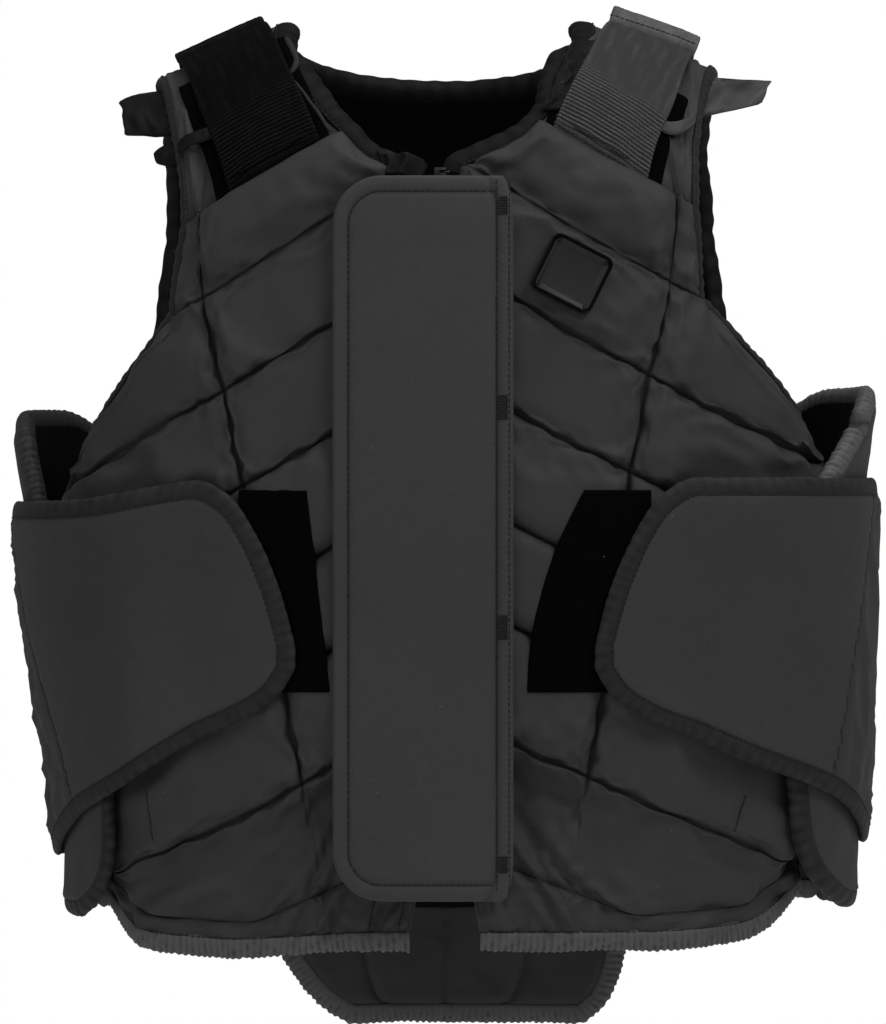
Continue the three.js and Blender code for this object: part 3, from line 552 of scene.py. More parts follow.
def makeCloth(name, look):
    # A woven cloth with thread bump, streaks and fading, pale where it is worn and where highlights are
    # painted, with painted shade in its folds and seams
    material = bpy.data.materials.new(name)
    material.use_nodes = True
    tree = material.node_tree
    shader = tree.nodes["Principled BSDF"]
    place = addNode(tree, "ShaderNodeTexCoord")
    cloth = addNode(tree, "ShaderNodeUVMap", {"uv_map": "cloth"}).outputs[0]
    threads = useGroup(tree, wovenThreads, Place=cloth, Across=look["across"], Down=look["down"])
    streaks = useGroup(tree, threadStreaks, Place=cloth, Length=look["streakLength"],
                       Width=look["streakWidth"])
    patches = useGroup(tree, fadedPatches, Place=place.outputs["Object"])
    specks = useGroup(tree, lint, Place=place.outputs["Object"], Amount=look["lint"])
    # This attribute is real wear at edges and painted highlight on crests, folds and rib tops
    highlightAndWear = addNode(tree, "ShaderNodeAttribute", {"attribute_name": "highlightAndWear"}).outputs["Fac"]
    # The fold attribute is painted shade: darker in seams, grooves, crease hollows and under edges
    fold = addNode(tree, "ShaderNodeAttribute", {"attribute_name": "fold"}).outputs["Fac"]
    base = mixColour(tree, patches.outputs["Fade"], look["dark"], look["pale"])
    streak = calc(tree, "MULTIPLY", streaks.outputs[0], look["streak"])
    base = mixColour(tree, streak, base, look["thread"])
    base = mixColour(tree, calc(tree, "MULTIPLY", threads.outputs["Gaps"], look["gaps"]), base, look["deep"])
    mottle = calc(tree, "MULTIPLY_ADD", patches.outputs["Mottle"], 0.6, 0.4)
    # The pale colour, for wear and for painted highlights
    worn = calc(tree, "MULTIPLY", calc(tree, "MULTIPLY", highlightAndWear, mottle), look["highlightAndWearAmount"], clamp=True)
    base = mixColour(tree, worn, base, look["worn"])
    # Painted shade from the fold attribute, in the deep colour
    base = mixColour(tree, calc(tree, "MULTIPLY", fold, look["foldShade"], clamp=True), base, look["deep"])
    base = mixColour(tree, calc(tree, "MULTIPLY", specks.outputs[0], 0.3), base, look["speck"])
    tree.links.new(base, shader.inputs["Base Color"])
    rough = calc(tree, "MULTIPLY_ADD", patches.outputs["Mottle"], look["roughChange"], look["rough"])
    tree.links.new(rough, shader.inputs["Roughness"])
    shader.inputs["Specular IOR Level"].default_value = look["specular"]
    shader.inputs["Sheen Weight"].default_value = look["sheen"]
    shader.inputs["Sheen Roughness"].default_value = 0.45
    height = calc(tree, "MULTIPLY_ADD", streaks.outputs[0], look["streakHeight"],
                  calc(tree, "MULTIPLY", threads.outputs["Height"], look["threadHeight"]))
    height = calc(tree, "MULTIPLY_ADD", patches.outputs["Mottle"], look["mottleHeight"], height)
    bump = addNode(tree, "ShaderNodeBump", Strength=1.0, Distance=0.001, Height=height)
    tree.links.new(bump.outputs[0], shader.inputs["Normal"])
    return material


plainLook = shades(0.040, 0.049, 0.066, 0.008, 0.11) | {
    "across": 0.62, "down": 0.58, "streakLength": 10.0, "streakWidth": 0.8, "streak": 0.16,
    "speck": grey(0.3), "gaps": 0.5, "highlightAndWearAmount": 0.5, "foldShade": 0.8, "lint": 0.0015,
    "rough": 0.62, "roughChange": 0.12, "specular": 0.35, "sheen": 0.05,
    "threadHeight": 0.07, "streakHeight": 0.04, "mottleHeight": 0.05,
}
tapeLook = plainLook | {"streakLength": 3.0}
closeTapeLook = tapeLook | {"across": 0.9, "down": 0.5}
shellCloth = makeCloth("shellCloth", plainLook)
flapCloth = makeCloth("flapCloth", plainLook | shades(0.046, 0.055, 0.082, 0.008, 0.11) | {
    "streak": 0.32, "streakLength": 7.0, "streakWidth": 0.75})
blackTape = makeCloth("blackTape", closeTapeLook | shades(0.011, 0.015, 0.022, 0.002, 0.05) | {
    "gaps": 0.6, "threadHeight": 0.1})
greyTape = makeCloth("greyTape", tapeLook | shades(0.092, 0.128, 0.18, 0.01, 0.2))
paleTape = makeCloth("paleTape", tapeLook | shades(0.05, 0.07, 0.09, 0.006, 0.15))
deepTape = makeCloth("deepTape", closeTapeLook | shades(0.0024, 0.004, 0.0075, 0.001, 0.028) | {
    "specular": 0.18, "sheen": 0.0})
shadedTape = makeCloth("shadedTape", tapeLook | shades(0.02, 0.032, 0.05, 0.004, 0.11))
liningCloth = makeCloth("liningCloth", plainLook | shades(0.0022, 0.0036, 0.006, 0.0008, 0.012) | {
    "rough": 0.6, "specular": 0.08, "sheen": 0.0, "threadHeight": 0.03})
tailCloth = makeCloth("tailCloth", plainLook | shades(0.009, 0.014, 0.02, 0.002, 0.04, -0.01) | {
    "rough": 0.4, "specular": 0.5, "threadHeight": 0.03})
threadMaterial = makeCloth("sewingThread", plainLook | shades(0.006, 0.009, 0.012, 0.008, 0.11) | {
    "gaps": 0.0, "threadHeight": 0.0, "highlightAndWearAmount": 0.0, "foldShade": 0.0, "rough": 0.5})


def sew(name, lines, material=threadMaterial, **look):
    finishPiece(makeStitches(name, lines, **look), material, "black_tape")
print("materials ready")

# Front panels. Down is a share of the front length, out a share of the reach named beside it.
front = {
    "seamDown": [0.103, 0.192, 0.309, 0.431, 0.554, 0.666, 0.794, 0.928],
    "seamSlope": [0.55, 0.55, 0.54, 0.49, 0.46, 0.45, 0.45, 0.38],
    "seamStart": 60, "leftStrapUp": 0.014, "seamsApart": 0.022, "seamOverHem": 0.02, "lastSeamEnds": 0.48,
    "neckReach": 90, "neckDepth": 76, "shoulderReach": 152, "armholeDepth": 222, "sideReach": 203,
    "seamReach": 132, "hemReach": 192, "hemRise": 28, "hemBinding": 9.5, "hemSpread": 15, "zipHalf": 6,
    "foam": 20, "seamFoam": 14, "edgeFoam": 12, "shoulderFoam": 12, "hemFoam": 9, "thinnest": 2.5,
    "thickest": 24, "roll": 11, "lip": 5.5, "narrow": 55, "crown": 0.7, "sink": 1.4, "sinkWidth": 2.2,
    "innerRound": 12, "outerRound": 14, "armBinding": 5, "ridgeOver": 0.7, "hemBlock": 7,
    "pucker": 0.9, "puckerReach": 6, "seamShadeWidth": 1.6,
}
frontFolds = {
    "hemWave": 2.6, "hemPitch": 80, "hemCrease": 3.6, "hemCreasePitch": 90, "hemSunk": 1.2,
    "sideCrease": 3.4, "sideCreasePitch": 46, "sideWave": 1.2, "sidePitch": 40, "sideSunk": 1.3,
    "sideReach": (36, 8), "sideBlocks": (4.2, 2.6),
}
loopHold = {"out": (30, 116), "down": (230, 348), "soft": 4}  # the cloth lies flat under the loop patches
farOff = 99  # a distance beyond any seam's padding
neckCurve = {"down": [-0.03, 0.07, 0.26, 0.46, 0.62, 0.78, 0.88, 1.0],
             "right": [0.99, 0.92, 0.83, 0.72, 0.6, 0.46, 0.3, 0.067],
             "left": [0.97, 0.80, 0.73, 0.69, 0.53, 0.25, 0.09, 0.067]}
armCurve = {"down": [0.0, 0.27, 0.43, 0.52, 0.68, 0.81, 0.94, 1.0],
            "out": [0.98, 0.93, 0.885, 0.875, 0.98, 1.1, 1.23, 1.3]}
sideCurve = {"down": [0.46, 0.49, 0.65, 0.83, 0.94, 1.0], "out": [0.985, 1.0, 0.985, 0.965, 0.95, 0.935]}
longCurve = {"down": [0.15, 0.2, 0.275, 0.379, 0.483, 0.74, 0.82, 1.0],
             "out": [0.965, 0.965, 0.93, 0.835, 0.765, 0.61, 0.56, 0.5]}
hemCurve = {"out": [0.6, 0.82, 0.9, 0.96, 1.0, 1.03], "rise": [0.0, 0.12, 0.36, 0.72, 1.05, 1.3]}
zipCurve = {"down": [0.83, 0.94, 1.0], "spread": [0.0, 0.55, 1.0]}


def frontInner(z, side):
    down = -z / front["neckDepth"]
    if down < 1:
        return front["neckReach"] * readTable(neckCurve, "down", "right" if side < 0 else "left", down)
    spreadOut = readTable(zipCurve, "down", "spread", -z / body["frontLength"])
    return front["zipHalf"] + front["hemSpread"] * spreadOut


def frontOuter(z):
    arm = front["shoulderReach"] * readTable(armCurve, "down", "out", -z / front["armholeDepth"])
    if -z < front["armholeDepth"] * 0.97:
        return arm
    edge = front["sideReach"] * readTable(sideCurve, "down", "out", -z / body["frontLength"])
    return min(front["sideReach"], max(arm, edge))


def longSeamOut(z):
    return front["seamReach"] * readTable(longCurve, "down", "out", -z / body["frontLength"])


def hemLine(x):
    rise = readTable(hemCurve, "out", "rise", x / front["hemReach"])
    return -(body["frontLength"] - front["hemBinding"]) + front["hemRise"] * rise


def frontLine(number, side=-1):
    down, slope = front["seamDown"][number], front["seamSlope"][number]
    if number == 0 and side > 0:
        down -= front["leftStrapUp"]
    under = len(front["seamDown"]) - 1 - number
    keep = body["frontLength"] * (front["seamsApart"] * under + front["seamOverHem"])

    def line(x):
        return np.maximum(-body["frontLength"] * down - slope * (x - front["seamStart"]), hemLine(x) + keep)

    return line


def meet(line, edgeOut):
    first, last = 0.0, float(body["width"])
    for _ in range(30):
        x = (first + last) / 2
        if x < edgeOut(line(x)):
            first = x
        else:
            last = x
    return (first + last) / 2


innerShares = spread(22)
outerShares = spread(20)
blockShares = spread(14)
shoulderShares = np.linspace(0, 1, 19)


def crossRow(line, side, lift):
    inner, outer = meet(line, lambda z: frontInner(z, side)), meet(line, frontOuter)
    seam = min(meet(line, longSeamOut), outer - front["armBinding"])
    x = np.concatenate([mix(inner, seam, innerShares), mix(seam, outer, outerShares)[1:]])
    angle, climb = seat(side * x, line(x), lift)
    return np.stack([angle, climb], axis=-1)


def fillBlocks(seamRows, shares):
    # Rows of places between seam rows, with each row's distance from the seams over and under it
    rows, above, below, block = [], [], [], []
    for k in range(len(seamRows) - 1):
        tall = np.linalg.norm(bodySkin(*np.moveaxis(seamRows[k], -1, 0))
                              - bodySkin(*np.moveaxis(seamRows[k + 1], -1, 0)), axis=-1)
        for share in shares[k][:-1]:
            rows.append(mix(seamRows[k], seamRows[k + 1], share))
            above.append(tall * share)
            below.append(tall * (1 - share))
            block.append(k)
    rows.append(seamRows[-1])
    above.append(tall)
    below.append(tall * 0)
    block.append(len(seamRows) - 1)
    return np.array(rows), np.array(above), np.array(below), np.array(block)


def angleAt(x, climb, lift):
    # The angle at which the lifted point is at x, at a given climb
    side = np.where(x < 0, -1.0, 1.0)
    first, last = np.zeros(x.shape), np.full(x.shape, math.pi / 2)
    for _ in range(22):
        angle = (first + last) / 2
        narrow = np.abs(lifted(side * angle, climb, lift)[..., 0]) < np.abs(x)
        first, last = np.where(narrow, angle, first), np.where(narrow, last, angle)
    return side * (first + last) / 2


def curveNeck(places, side, long):
    # Bends the inner part of the upper rows so that their first places follow the neckline
    for row in places:
        start = lifted(row[0, 0], row[0, 1], front["edgeFoam"])
        if -start[2] > front["neckDepth"] + 2:
            continue
        part = row[:long + 1]
        x = lifted(part[:, 0], part[:, 1], front["edgeFoam"])[:, 0]
        shift = side * frontInner(start[2], side) - x[0]
        share = np.linspace(1, 0, long + 1)
        part[:, 0] = angleAt(x + shift * share, part[:, 1], front["edgeFoam"])
    return places


def insideSpan(span, at):
    low, high, soft = span[0], span[1], loopHold["soft"]
    return smoothStep(low - soft, low + soft, at) * smoothStep(high + soft, high - soft, at)


def makeFront(side):
    word = wordOf(side)
    count = len(front["seamDown"])
    seams = [crossRow(frontLine(number, side), side, front["seamFoam"]) for number in range(count)]
    columns = seams[0].shape[0]
    long = len(innerShares) - 1
    ridgeX = side * mix(front["neckReach"], front["shoulderReach"], np.linspace(0, 1, columns))
    ridgeAngle, _ = seat(ridgeX, body["shoulderDrop"], front["shoulderFoam"])
    ridgeClimb = np.full(columns, body["shoulderWalk"] + front["ridgeOver"])
    ridge = np.stack([ridgeAngle, ridgeClimb], axis=-1)
    hem = crossRow(hemLine, side, front["hemFoam"])
    shares = [shoulderShares] + [blockShares] * len(seams)
    places, above, below, block = fillBlocks([ridge] + seams + [hem], shares)
    places = curveNeck(places, side, long)
    angle, climb = places[..., 0], places[..., 1]
    inner = lifted(angle, climb, 0.0)
    middle = lifted(angle, climb, front["seamFoam"])
    cloth = clothCoordinates(middle)
    u, v = cloth[..., 0], cloth[..., 1]
    fromLong = np.abs(u - u[:, long:long + 1])
    fromInner, fromOuter = np.abs(u - u[:, :1]), np.abs(u - u[:, -1:])
    blockOf = block[:, None] + 0 * u
    aboveFar = np.where(blockOf > 0, above, farOff)
    downBlock = above / np.maximum(above + below, 1e-6)
    # How thick the padding is at its seams and between them
    low = np.full(u.shape, float(front["seamFoam"]))
    full = np.full(u.shape, float(front["foam"]))
    low[blockOf == 0] = full[blockOf == 0] = front["shoulderFoam"]
    thin = smoothStep(front["hemBlock"], front["hemBlock"] + 0.25, blockOf + downBlock)
    low = mix(low, front["hemFoam"] - 3, thin)
    full = mix(full, front["hemFoam"] - 0.5, thin)
    roll = front["roll"]
    recess = np.where(blockOf == 1, np.clip(below - front["lip"], 0, None), below)
    rowRise = roundRise(aboveFar, roll) * roundRise(recess, roll)
    longRise = mix(roundRise(fromLong, roll), 1, np.clip(thin + (blockOf == 0), 0, 1))
    narrow = np.clip((fromLong + fromOuter) / front["narrow"], 0.25, 1)
    narrow = np.where(np.arange(columns) > long, narrow, 1)
    lift = low + (full - low) * rowRise * longRise * narrow
    lift += front["crown"] * np.sin(np.clip(downBlock, 0, 1) * math.pi) * longRise * (1 - thin)
    sink, sinkWidth = front["sink"], front["sinkWidth"]
    lift -= sink * (1 - roundRise(np.minimum(aboveFar, below), sinkWidth)) * (1 - thin)
    lift -= sink * (1 - roundRise(fromLong, sinkWidth)) * (1 - thin) * (blockOf > 0)
    edge = np.minimum(roundRise(fromInner, front["innerRound"]), roundRise(fromOuter, front["outerRound"]))
    lift = mix(np.minimum(lift, front["edgeFoam"]), lift, edge)
    # Slack cloth: broad folds in the thin hem and beside the armholes, puckers beside the seams
    seamGap = np.minimum(np.minimum(aboveFar, below), mix(fromLong, farOff, thin))
    slant = (v + u * 0.5) * 2.0
    hemWave = frontFolds["hemWave"] * waves(u * 0.7, slant, 11 + side, frontFolds["hemPitch"], 3)
    hemCrease = frontFolds["hemCrease"] * creases(u * 0.5, slant, 14 + side, frontFolds["hemCreasePitch"])
    lift += thin * edge * (hemWave + hemCrease - frontFolds["hemSunk"])
    sideFold = smoothStep(*frontFolds["sideReach"], fromOuter)
    sideFold = sideFold * smoothStep(*frontFolds["sideBlocks"], blockOf + downBlock)
    sideCrease = creases(u * 1.7, v * 0.32, 17 + side, frontFolds["sideCreasePitch"], 2.5)
    sideWave = waves(u * 2, v * 0.5, 19 + side, frontFolds["sidePitch"], 2)
    lift += sideFold * edge * (frontFolds["sideCrease"] * sideCrease - frontFolds["sideSunk"]
                               + frontFolds["sideWave"] * sideWave)
    lift += (1 - thin) * edge * 0.5 * waves(u, v, 21 + side, 60, 2)
    pucker = np.exp(-seamGap / front["puckerReach"]) * np.clip(seamGap / 1.5, 0, 1)
    lift += pucker * front["pucker"] * waves(u, v, 31 + side, 11, 2)
    lift = np.clip(lift, front["thinnest"], front["thickest"])
    # Where the cover is sewn down or lies under a loop patch, the simulation holds it
    sewn = np.exp(-(np.minimum(seamGap, np.minimum(fromInner, fromOuter)) / 1.2) ** 2)
    sewn = np.maximum(sewn, (blockOf == 0) | (np.arange(len(block)) >= len(block) - 2)[:, None])
    sewn = np.maximum(sewn, (blockOf == 1) * np.exp(-(above / 14) ** 2))
    underLoop = insideSpan(loopHold["out"], np.abs(middle[..., 0]))
    underLoop = underLoop * insideSpan(loopHold["down"], -middle[..., 2])
    sewn = np.maximum(sewn, underLoop)
    outwards = bodyNormal(angle, climb)
    outer = upsample(puckerCloth("front_" + word + "_sheet", lifted(angle, climb, lift), outwards, sewn), 2)
    # The first mask is wear at the pad's rounded edges, the second painted shade along the seams
    fine = {"highlightAndWear": upsample(np.clip((1 - edge) * 0.3, 0, 1), 2),
            "fold": upsample(np.exp(-seamGap / front["seamShadeWidth"]), 2)}
    piece = makeShell("front_panel_" + word + "_cloth", upsample(inner, 2), outer, upsample(cloth, 2), fine)
    finishPiece(piece, shellCloth, "shell_cloth", "front_panel_" + word, padded=0.8, lining=liningCloth)
    normals = gridNormals(outer, upsample(outwards, 2))
    seamRowsAt = [2 * int(np.argmax(block == k)) for k in range(1, len(seams) + 1)]
    return {"outer": outer, "normals": normals, "seams": seamRowsAt, "long": 2 * long,
            "lift": lift, "angle": angle, "climb": climb, "word": word, "side": side}


fronts = [makeFront(-1), makeFront(1)]
print("front panels ready")


def frontStitches(panel):
    outer, normals, rows, long = (panel[key] for key in ("outer", "normals", "seams", "long"))
    last = outer.shape[1] - 1
    lines = []
    for row in rows:
        stop = last if row != rows[-1] else int(last * front["lastSeamEnds"])
        lines.append((outer[row, :stop + 1], normals[row, :stop + 1]))
    lines.append((outer[rows[0]:rows[-2] + 1, long], normals[rows[0]:rows[-2] + 1, long]))
    sew("front_stitches_" + panel["word"], lines)


for panel in fronts:
    frontStitches(panel)
print("front stitches ready")

# Back panel: one quilted pad with three seams down it
back = {
    "seamDown": [0.16, 0.3, 0.44, 0.575, 0.71, 0.84], "seamSlope": [0.12, 0.14, 0.15, 0.14, 0.1, 0.04],
    "columns": [-0.69, -0.31, 0.0, 0.31, 0.69], "reach": 207, "length": 462, "neckDepth": 18,
    "foam": 20, "seamFoam": 14, "edgeFoam": 12, "shoulderFoam": 12, "roll": 12, "tailReach": 92,
    "rimRound": 14, "neckRound": 10, "sink": 1.2, "sinkWidth": 2.2, "hemRise": 17, "tailGap": 20,
}
backArm = {"down": [0.0, 0.25, 0.5, 0.68, 0.8, 0.86, 0.92, 1.0],
           "out": [1.0, 0.99, 0.98, 1.02, 1.1, 1.24, 1.34, 1.355]}


def backOuter(z):
    arm = front["shoulderReach"] * readTable(backArm, "down", "out", -z / front["armholeDepth"])
    return min(back["reach"], arm)


def backShares():
    marks = [-1.0] + back["columns"] + [1.0]
    parts = [mix(a, b, spread(14 if b - a < 0.33 else 16))[:-1] for a, b in zip(marks[:-1], marks[1:])]
    return np.concatenate(parts + [[1.0]])


def backRow(line, lift):
    outer = meet(line, backOuter)
    x = backShares() * outer
    x = np.where(np.abs(x) < 0.01, 0.01, x)
    angle, climb = seat(x, line(np.abs(x)), lift, behind=True)
    return np.stack([angle, climb], axis=-1)


def backHem(x):
    return -back["length"] + back["hemRise"] * smoothStep(back["tailReach"], back["reach"], x)


def backSeamLine(down, slope):
    return lambda x: -body["frontLength"] * down - slope * x


def makeBack():
    shares = backShares()
    x = shares * front["shoulderReach"]
    x = np.where(np.abs(x) < 0.01, 0.01, x)
    reach = np.abs(x)
    sweep = np.sqrt(np.clip(1 - (reach / (front["neckReach"] + 2)) ** 2, 0, 1))
    neckAngle, neckClimb = seat(x, -(back["neckDepth"] + 8) * sweep + 8, back["shoulderFoam"], behind=True)
    topAngle, _ = seat(x, body["shoulderDrop"], back["shoulderFoam"], behind=True)
    overShoulder = reach >= front["neckReach"]
    ridge = np.stack([np.where(overShoulder, topAngle, neckAngle),
                      np.where(overShoulder, body["shoulderWalk"] - 0.3, neckClimb)], axis=-1)
    seams = [backRow(backSeamLine(down, slope), back["seamFoam"])
             for down, slope in zip(back["seamDown"], back["seamSlope"])]
    hem = backRow(backHem, back["edgeFoam"])
    places, above, below, block = fillBlocks([ridge] + seams + [hem], [spread(14)] * (len(seams) + 1))
    angle, climb = places[..., 0], places[..., 1]
    inner = lifted(angle, climb, 0.0)
    cloth = clothCoordinates(lifted(angle, climb, back["seamFoam"]))
    u, v = cloth[..., 0], cloth[..., 1]
    marks = [int(np.argmin(np.abs(shares - share))) for share in back["columns"] if share != 0]
    fromDown = np.min([np.abs(u - u[:, k:k + 1]) for k in marks], axis=0)
    blockOf = block[:, None] + 0 * u
    aboveFar = np.where(blockOf > 0, above, farOff)
    belowFar = np.where(blockOf < len(seams), below, farOff)
    roll = back["roll"]
    rise = roundRise(aboveFar, roll) * roundRise(belowFar, roll) * roundRise(fromDown, roll)
    lift = mix(back["seamFoam"], back["foam"], rise)
    downBlock = above / np.maximum(above + below, 1e-6)
    lift = mix(back["shoulderFoam"], lift, smoothStep(0.15, 0.9, blockOf + downBlock))
    seamGap = np.minimum(np.minimum(aboveFar, belowFar), fromDown)
    lift -= back["sink"] * (1 - roundRise(seamGap, back["sinkWidth"]))
    rim = back["rimRound"]
    edge = np.minimum(roundRise(u - u[:, :1], rim), roundRise(u[:, -1:] - u, rim))
    edge = np.minimum(edge, roundRise(np.where(blockOf >= len(seams), below, farOff), rim))
    edge = np.minimum(edge, roundRise(np.where(blockOf < 1, above, farOff), back["neckRound"]))
    lift = mix(np.minimum(lift, back["edgeFoam"]), lift, edge)
    lift += edge * 0.6 * waves(u, v, 41, 70, 2)
    pucker = np.exp(-seamGap / front["puckerReach"]) * np.clip(seamGap / 1.5, 0, 1)
    lift += pucker * front["pucker"] * waves(u, v, 42, 12, 2)
    fromRim = np.minimum(np.minimum(u - u[:, :1], u[:, -1:] - u), np.where(blockOf < 1, above, farOff))
    sewn = np.exp(-(np.minimum(seamGap, fromRim) / 1.2) ** 2)
    sewn = np.maximum(sewn, (np.arange(len(block)) >= len(block) - 2)[:, None] | (blockOf == 0) & (above < 8))
    outwards = bodyNormal(angle, climb)
    outer = upsample(puckerCloth("back_sheet", lifted(angle, climb, lift), outwards, sewn), 2)
    # The first mask is wear at the rim, the second painted shade along the seams
    fine = {"highlightAndWear": upsample((1 - edge) * 0.2, 2), "fold": upsample(np.exp(-seamGap / front["seamShadeWidth"]), 2)}
    piece = makeShell("back_panel_cloth", upsample(inner, 2), outer, upsample(cloth, 2), fine)
    finishPiece(piece, shellCloth, "shell_cloth", "back_panel", padded=0.8, lining=liningCloth)
    normals = gridNormals(outer, upsample(outwards, 2))
    rows = [2 * int(np.argmax(block == k)) for k in range(1, len(seams) + 1)]
    lines = [(outer[row], normals[row]) for row in rows]
    lines += [(outer[rows[0]:, 2 * k], normals[rows[0]:, 2 * k]) for k in marks]
    sew("back_stitches", lines)
    return {"angle": angle, "climb": climb, "shares": shares}


backPad = makeBack()
print("back panel ready")

# Zip cover: a stitched flap, round at its outer corners, with a hinge strip at its other side
flap = {"top": 71, "height": 380, "left": 59, "right": 36, "corner": 26, "low": 20.6, "thick": 4,
        "inset": 8.5, "hinge": 9.0, "groove": 0.75, "hingeGroove": 0.9, "bead": 0.35}


def makeFlap():
    down = np.concatenate([spread(40, 0.13) * 0.16, 0.16 + np.linspace(0, 1, 61)[1:-1] * 0.68,
                           0.84 + spread(40, 0.13) * 0.16]) * flap["height"]
    fromEnd = np.minimum(down, flap["height"] - down)
    short = np.clip(flap["corner"] - fromEnd, 0, None)
    cut = flap["corner"] - np.sqrt(np.clip(flap["corner"] ** 2 - short ** 2, 0, None))
    shares = np.unique(np.round(np.concatenate([spread(44, 0.1), [0.94, 0.83, 0.8]]), 5))
    left, right = -flap["left"] + cut, flap["right"] - cut * 0.25
    x = left[:, None] + (right - left)[:, None] * shares[None, :]
    x = np.where(np.abs(x) < 0.01, 0.01, x)
    z = -flap["top"] - down[:, None] + 0 * x
    angle, climb = seat(x, z, flap["low"] + flap["thick"])
    fromLeft = x - left[:, None]
    fromRight = right[:, None] - x
    fromSide = np.minimum(fromLeft, fromRight)
    rimGap = np.minimum(fromSide, fromEnd[:, None])
    inCorner = (fromLeft + cut[:, None] < flap["corner"]) & (fromEnd[:, None] < flap["corner"])
    towardCorner = np.hypot(flap["corner"] - fromLeft - cut[:, None], flap["corner"] - fromEnd[:, None])
    rimGap = np.where(inCorner, np.minimum(flap["corner"] - towardCorner, fromRight), rimGap)
    sewGap = np.abs(rimGap - flap["inset"])
    hingeGap = np.abs(fromRight - flap["hinge"])
    lift = flap["low"] + flap["thick"] * mix(0.45, 1, roundRise(rimGap, 2.2))
    groove = flap["groove"] * np.exp(-(sewGap / 1.1) ** 2) * (fromRight > flap["hinge"] - 1)
    lift -= groove + flap["hingeGroove"] * np.exp(-(hingeGap / 1.2) ** 2)
    lift += flap["bead"] * np.exp(-((rimGap - flap["inset"] / 2) / 2.6) ** 2)
    lift += 0.4 * waves(x, z, 51, 130, 2) + 0.12 * waves(x, z, 52, 24, 2)
    lift += np.exp(-sewGap / 3) * 0.16 * waves(x, z, 53, 8, 2)
    outer = lifted(angle, climb, lift)
    inner = lifted(angle, climb, flap["low"] + 0.25 * (1 - roundRise(rimGap, 2.2)) * flap["thick"])
    # The first mask is wear at the rim, the second painted shade in the stitched grooves and along the hinge
    masks = {"highlightAndWear": np.exp(-rimGap / 1.6) * 0.5, "fold": np.exp(-np.minimum(sewGap, hingeGap) / 0.8) * 0.6}
    makeSheet("front_flap_cloth", inner, outer, np.stack([x, z], axis=-1), masks, flapCloth, "flap_cloth",
              ["front_flap"], "laid", ["front_panel_right_cloth", "front_panel_left_cloth"])
    return {"outer": outer, "angle": angle, "climb": climb}


flapPad = makeFlap()


def onGrid(panel, xs, zs, normals):
    # Points of a piece's surface at places in the front view, with their normals
    outer = panel["outer"]
    flatX, flatZ = outer[..., 0].ravel(), outer[..., 2].ravel()
    points, ups = [], []
    for x, z in zip(xs, zs):
        near = np.argsort((flatX - x) ** 2 + (flatZ - z) ** 2)[:4]
        weight = 1 / (np.hypot(flatX[near] - x, flatZ[near] - z) + 0.05)
        weight /= weight.sum()
        points.append([x, (outer.reshape(-1, 3)[near, 1] * weight).sum(), z])
        ups.append((normals.reshape(-1, 3)[near] * weight[:, None]).sum(0))
    return np.array(points), unit(np.array(ups))


# Bar tacks beside the hinge: how far down each starts and how tall it is
tacks = {"from": [83, 187, 302, 428], "tall": [10, 13, 13, 9], "rows": 6, "apart": 0.8, "inFrom": 7.6}
# Short seams of each front panel, from one place in the front view to another
shortSeams = {"right": [(-36.6, -450, -40.8, -469), (-21, -450, -25.4, -471), (-158, -386, -153.3, -416)],
              "left": [(158, -398, 152, -417)]}


def flapStitches():
    normals = gridNormals(flapPad["outer"], bodyNormal(flapPad["angle"], flapPad["climb"]))
    inset, corner = flap["inset"], flap["corner"] - flap["inset"]
    left, top = -flap["left"] + inset, -flap["top"] - inset
    bottom, right = -flap["top"] - flap["height"] + inset, flap["right"] - flap["hinge"] - 0.6
    turn = np.linspace(0, math.pi / 2, 16)
    cornerX = [left + corner - corner * np.sin(turn), left + corner - corner * np.cos(turn)]
    cornerZ = [top - corner + corner * np.cos(turn), bottom + corner - corner * np.sin(turn)]
    xs = np.concatenate([[right], *cornerX, [right]])
    zs = np.concatenate([[top], *cornerZ, [bottom]])
    line, _ = resample(np.stack([xs, zs], axis=1), 2.5)
    lines = [onGrid(flapPad, line[:, 0], line[:, 1], normals)]
    down = np.linspace(-flap["top"] - 4, -flap["top"] - flap["height"] + 4, 150)
    for offset in (flap["hinge"], 2.4):
        lines.append(onGrid(flapPad, np.full(150, flap["right"] - offset), down, normals))
    sew("flap_stitches", lines)


def stitchMarks():
    normals = gridNormals(flapPad["outer"], bodyNormal(flapPad["angle"], flapPad["climb"]))
    lines = []
    for down, tall in zip(tacks["from"], tacks["tall"]):
        for offset in np.arange(tacks["rows"]) * tacks["apart"]:
            heights = -down - np.linspace(0, tall, 12)
            across = np.full(12, flap["right"] - tacks["inFrom"] + offset)
            lines.append(onGrid(flapPad, across, heights, normals))
    sew("flap_tacks", lines, pitch=1.5, length=1.7, radius=0.42)
    for panel in fronts:
        lines = [onGrid(panel, np.linspace(a, c, 14), np.linspace(b, d, 14), panel["normals"])
                 for a, b, c, d in shortSeams[panel["word"]]]
        sew("short_seams_" + panel["word"], lines, pitch=2.6, length=2.5, lift=0.4)


flapStitches()
stitchMarks()
print("zip cover ready")


def makeTube(name, rings, uv, masks=None):
    # A closed piece swept through rings of points, its ends closed by quads from one half to the other
    count, ring = rings.shape[:2]
    index = np.arange(count * ring).reshape(count, ring)
    nextUp = np.roll(index, -1, axis=1)
    sides = np.stack([index[:-1], nextUp[:-1], nextUp[1:], index[1:]], -1).reshape(-1, 4)
    half = ring // 2
    caps = []
    for s in range(half - 1):
        pair = [index[0, s], index[0, s + 1], index[0, ring - 2 - s], index[0, ring - 1 - s]]
        caps.append(pair[::-1])
        pair = [index[-1, s], index[-1, s + 1], index[-1, ring - 2 - s], index[-1, ring - 1 - s]]
        caps.append(pair)
    faces = np.concatenate([sides, np.array(caps)])
    return makeMesh(name, rings.reshape(-1, 3), faces, uv.reshape(-1, 2), masks)


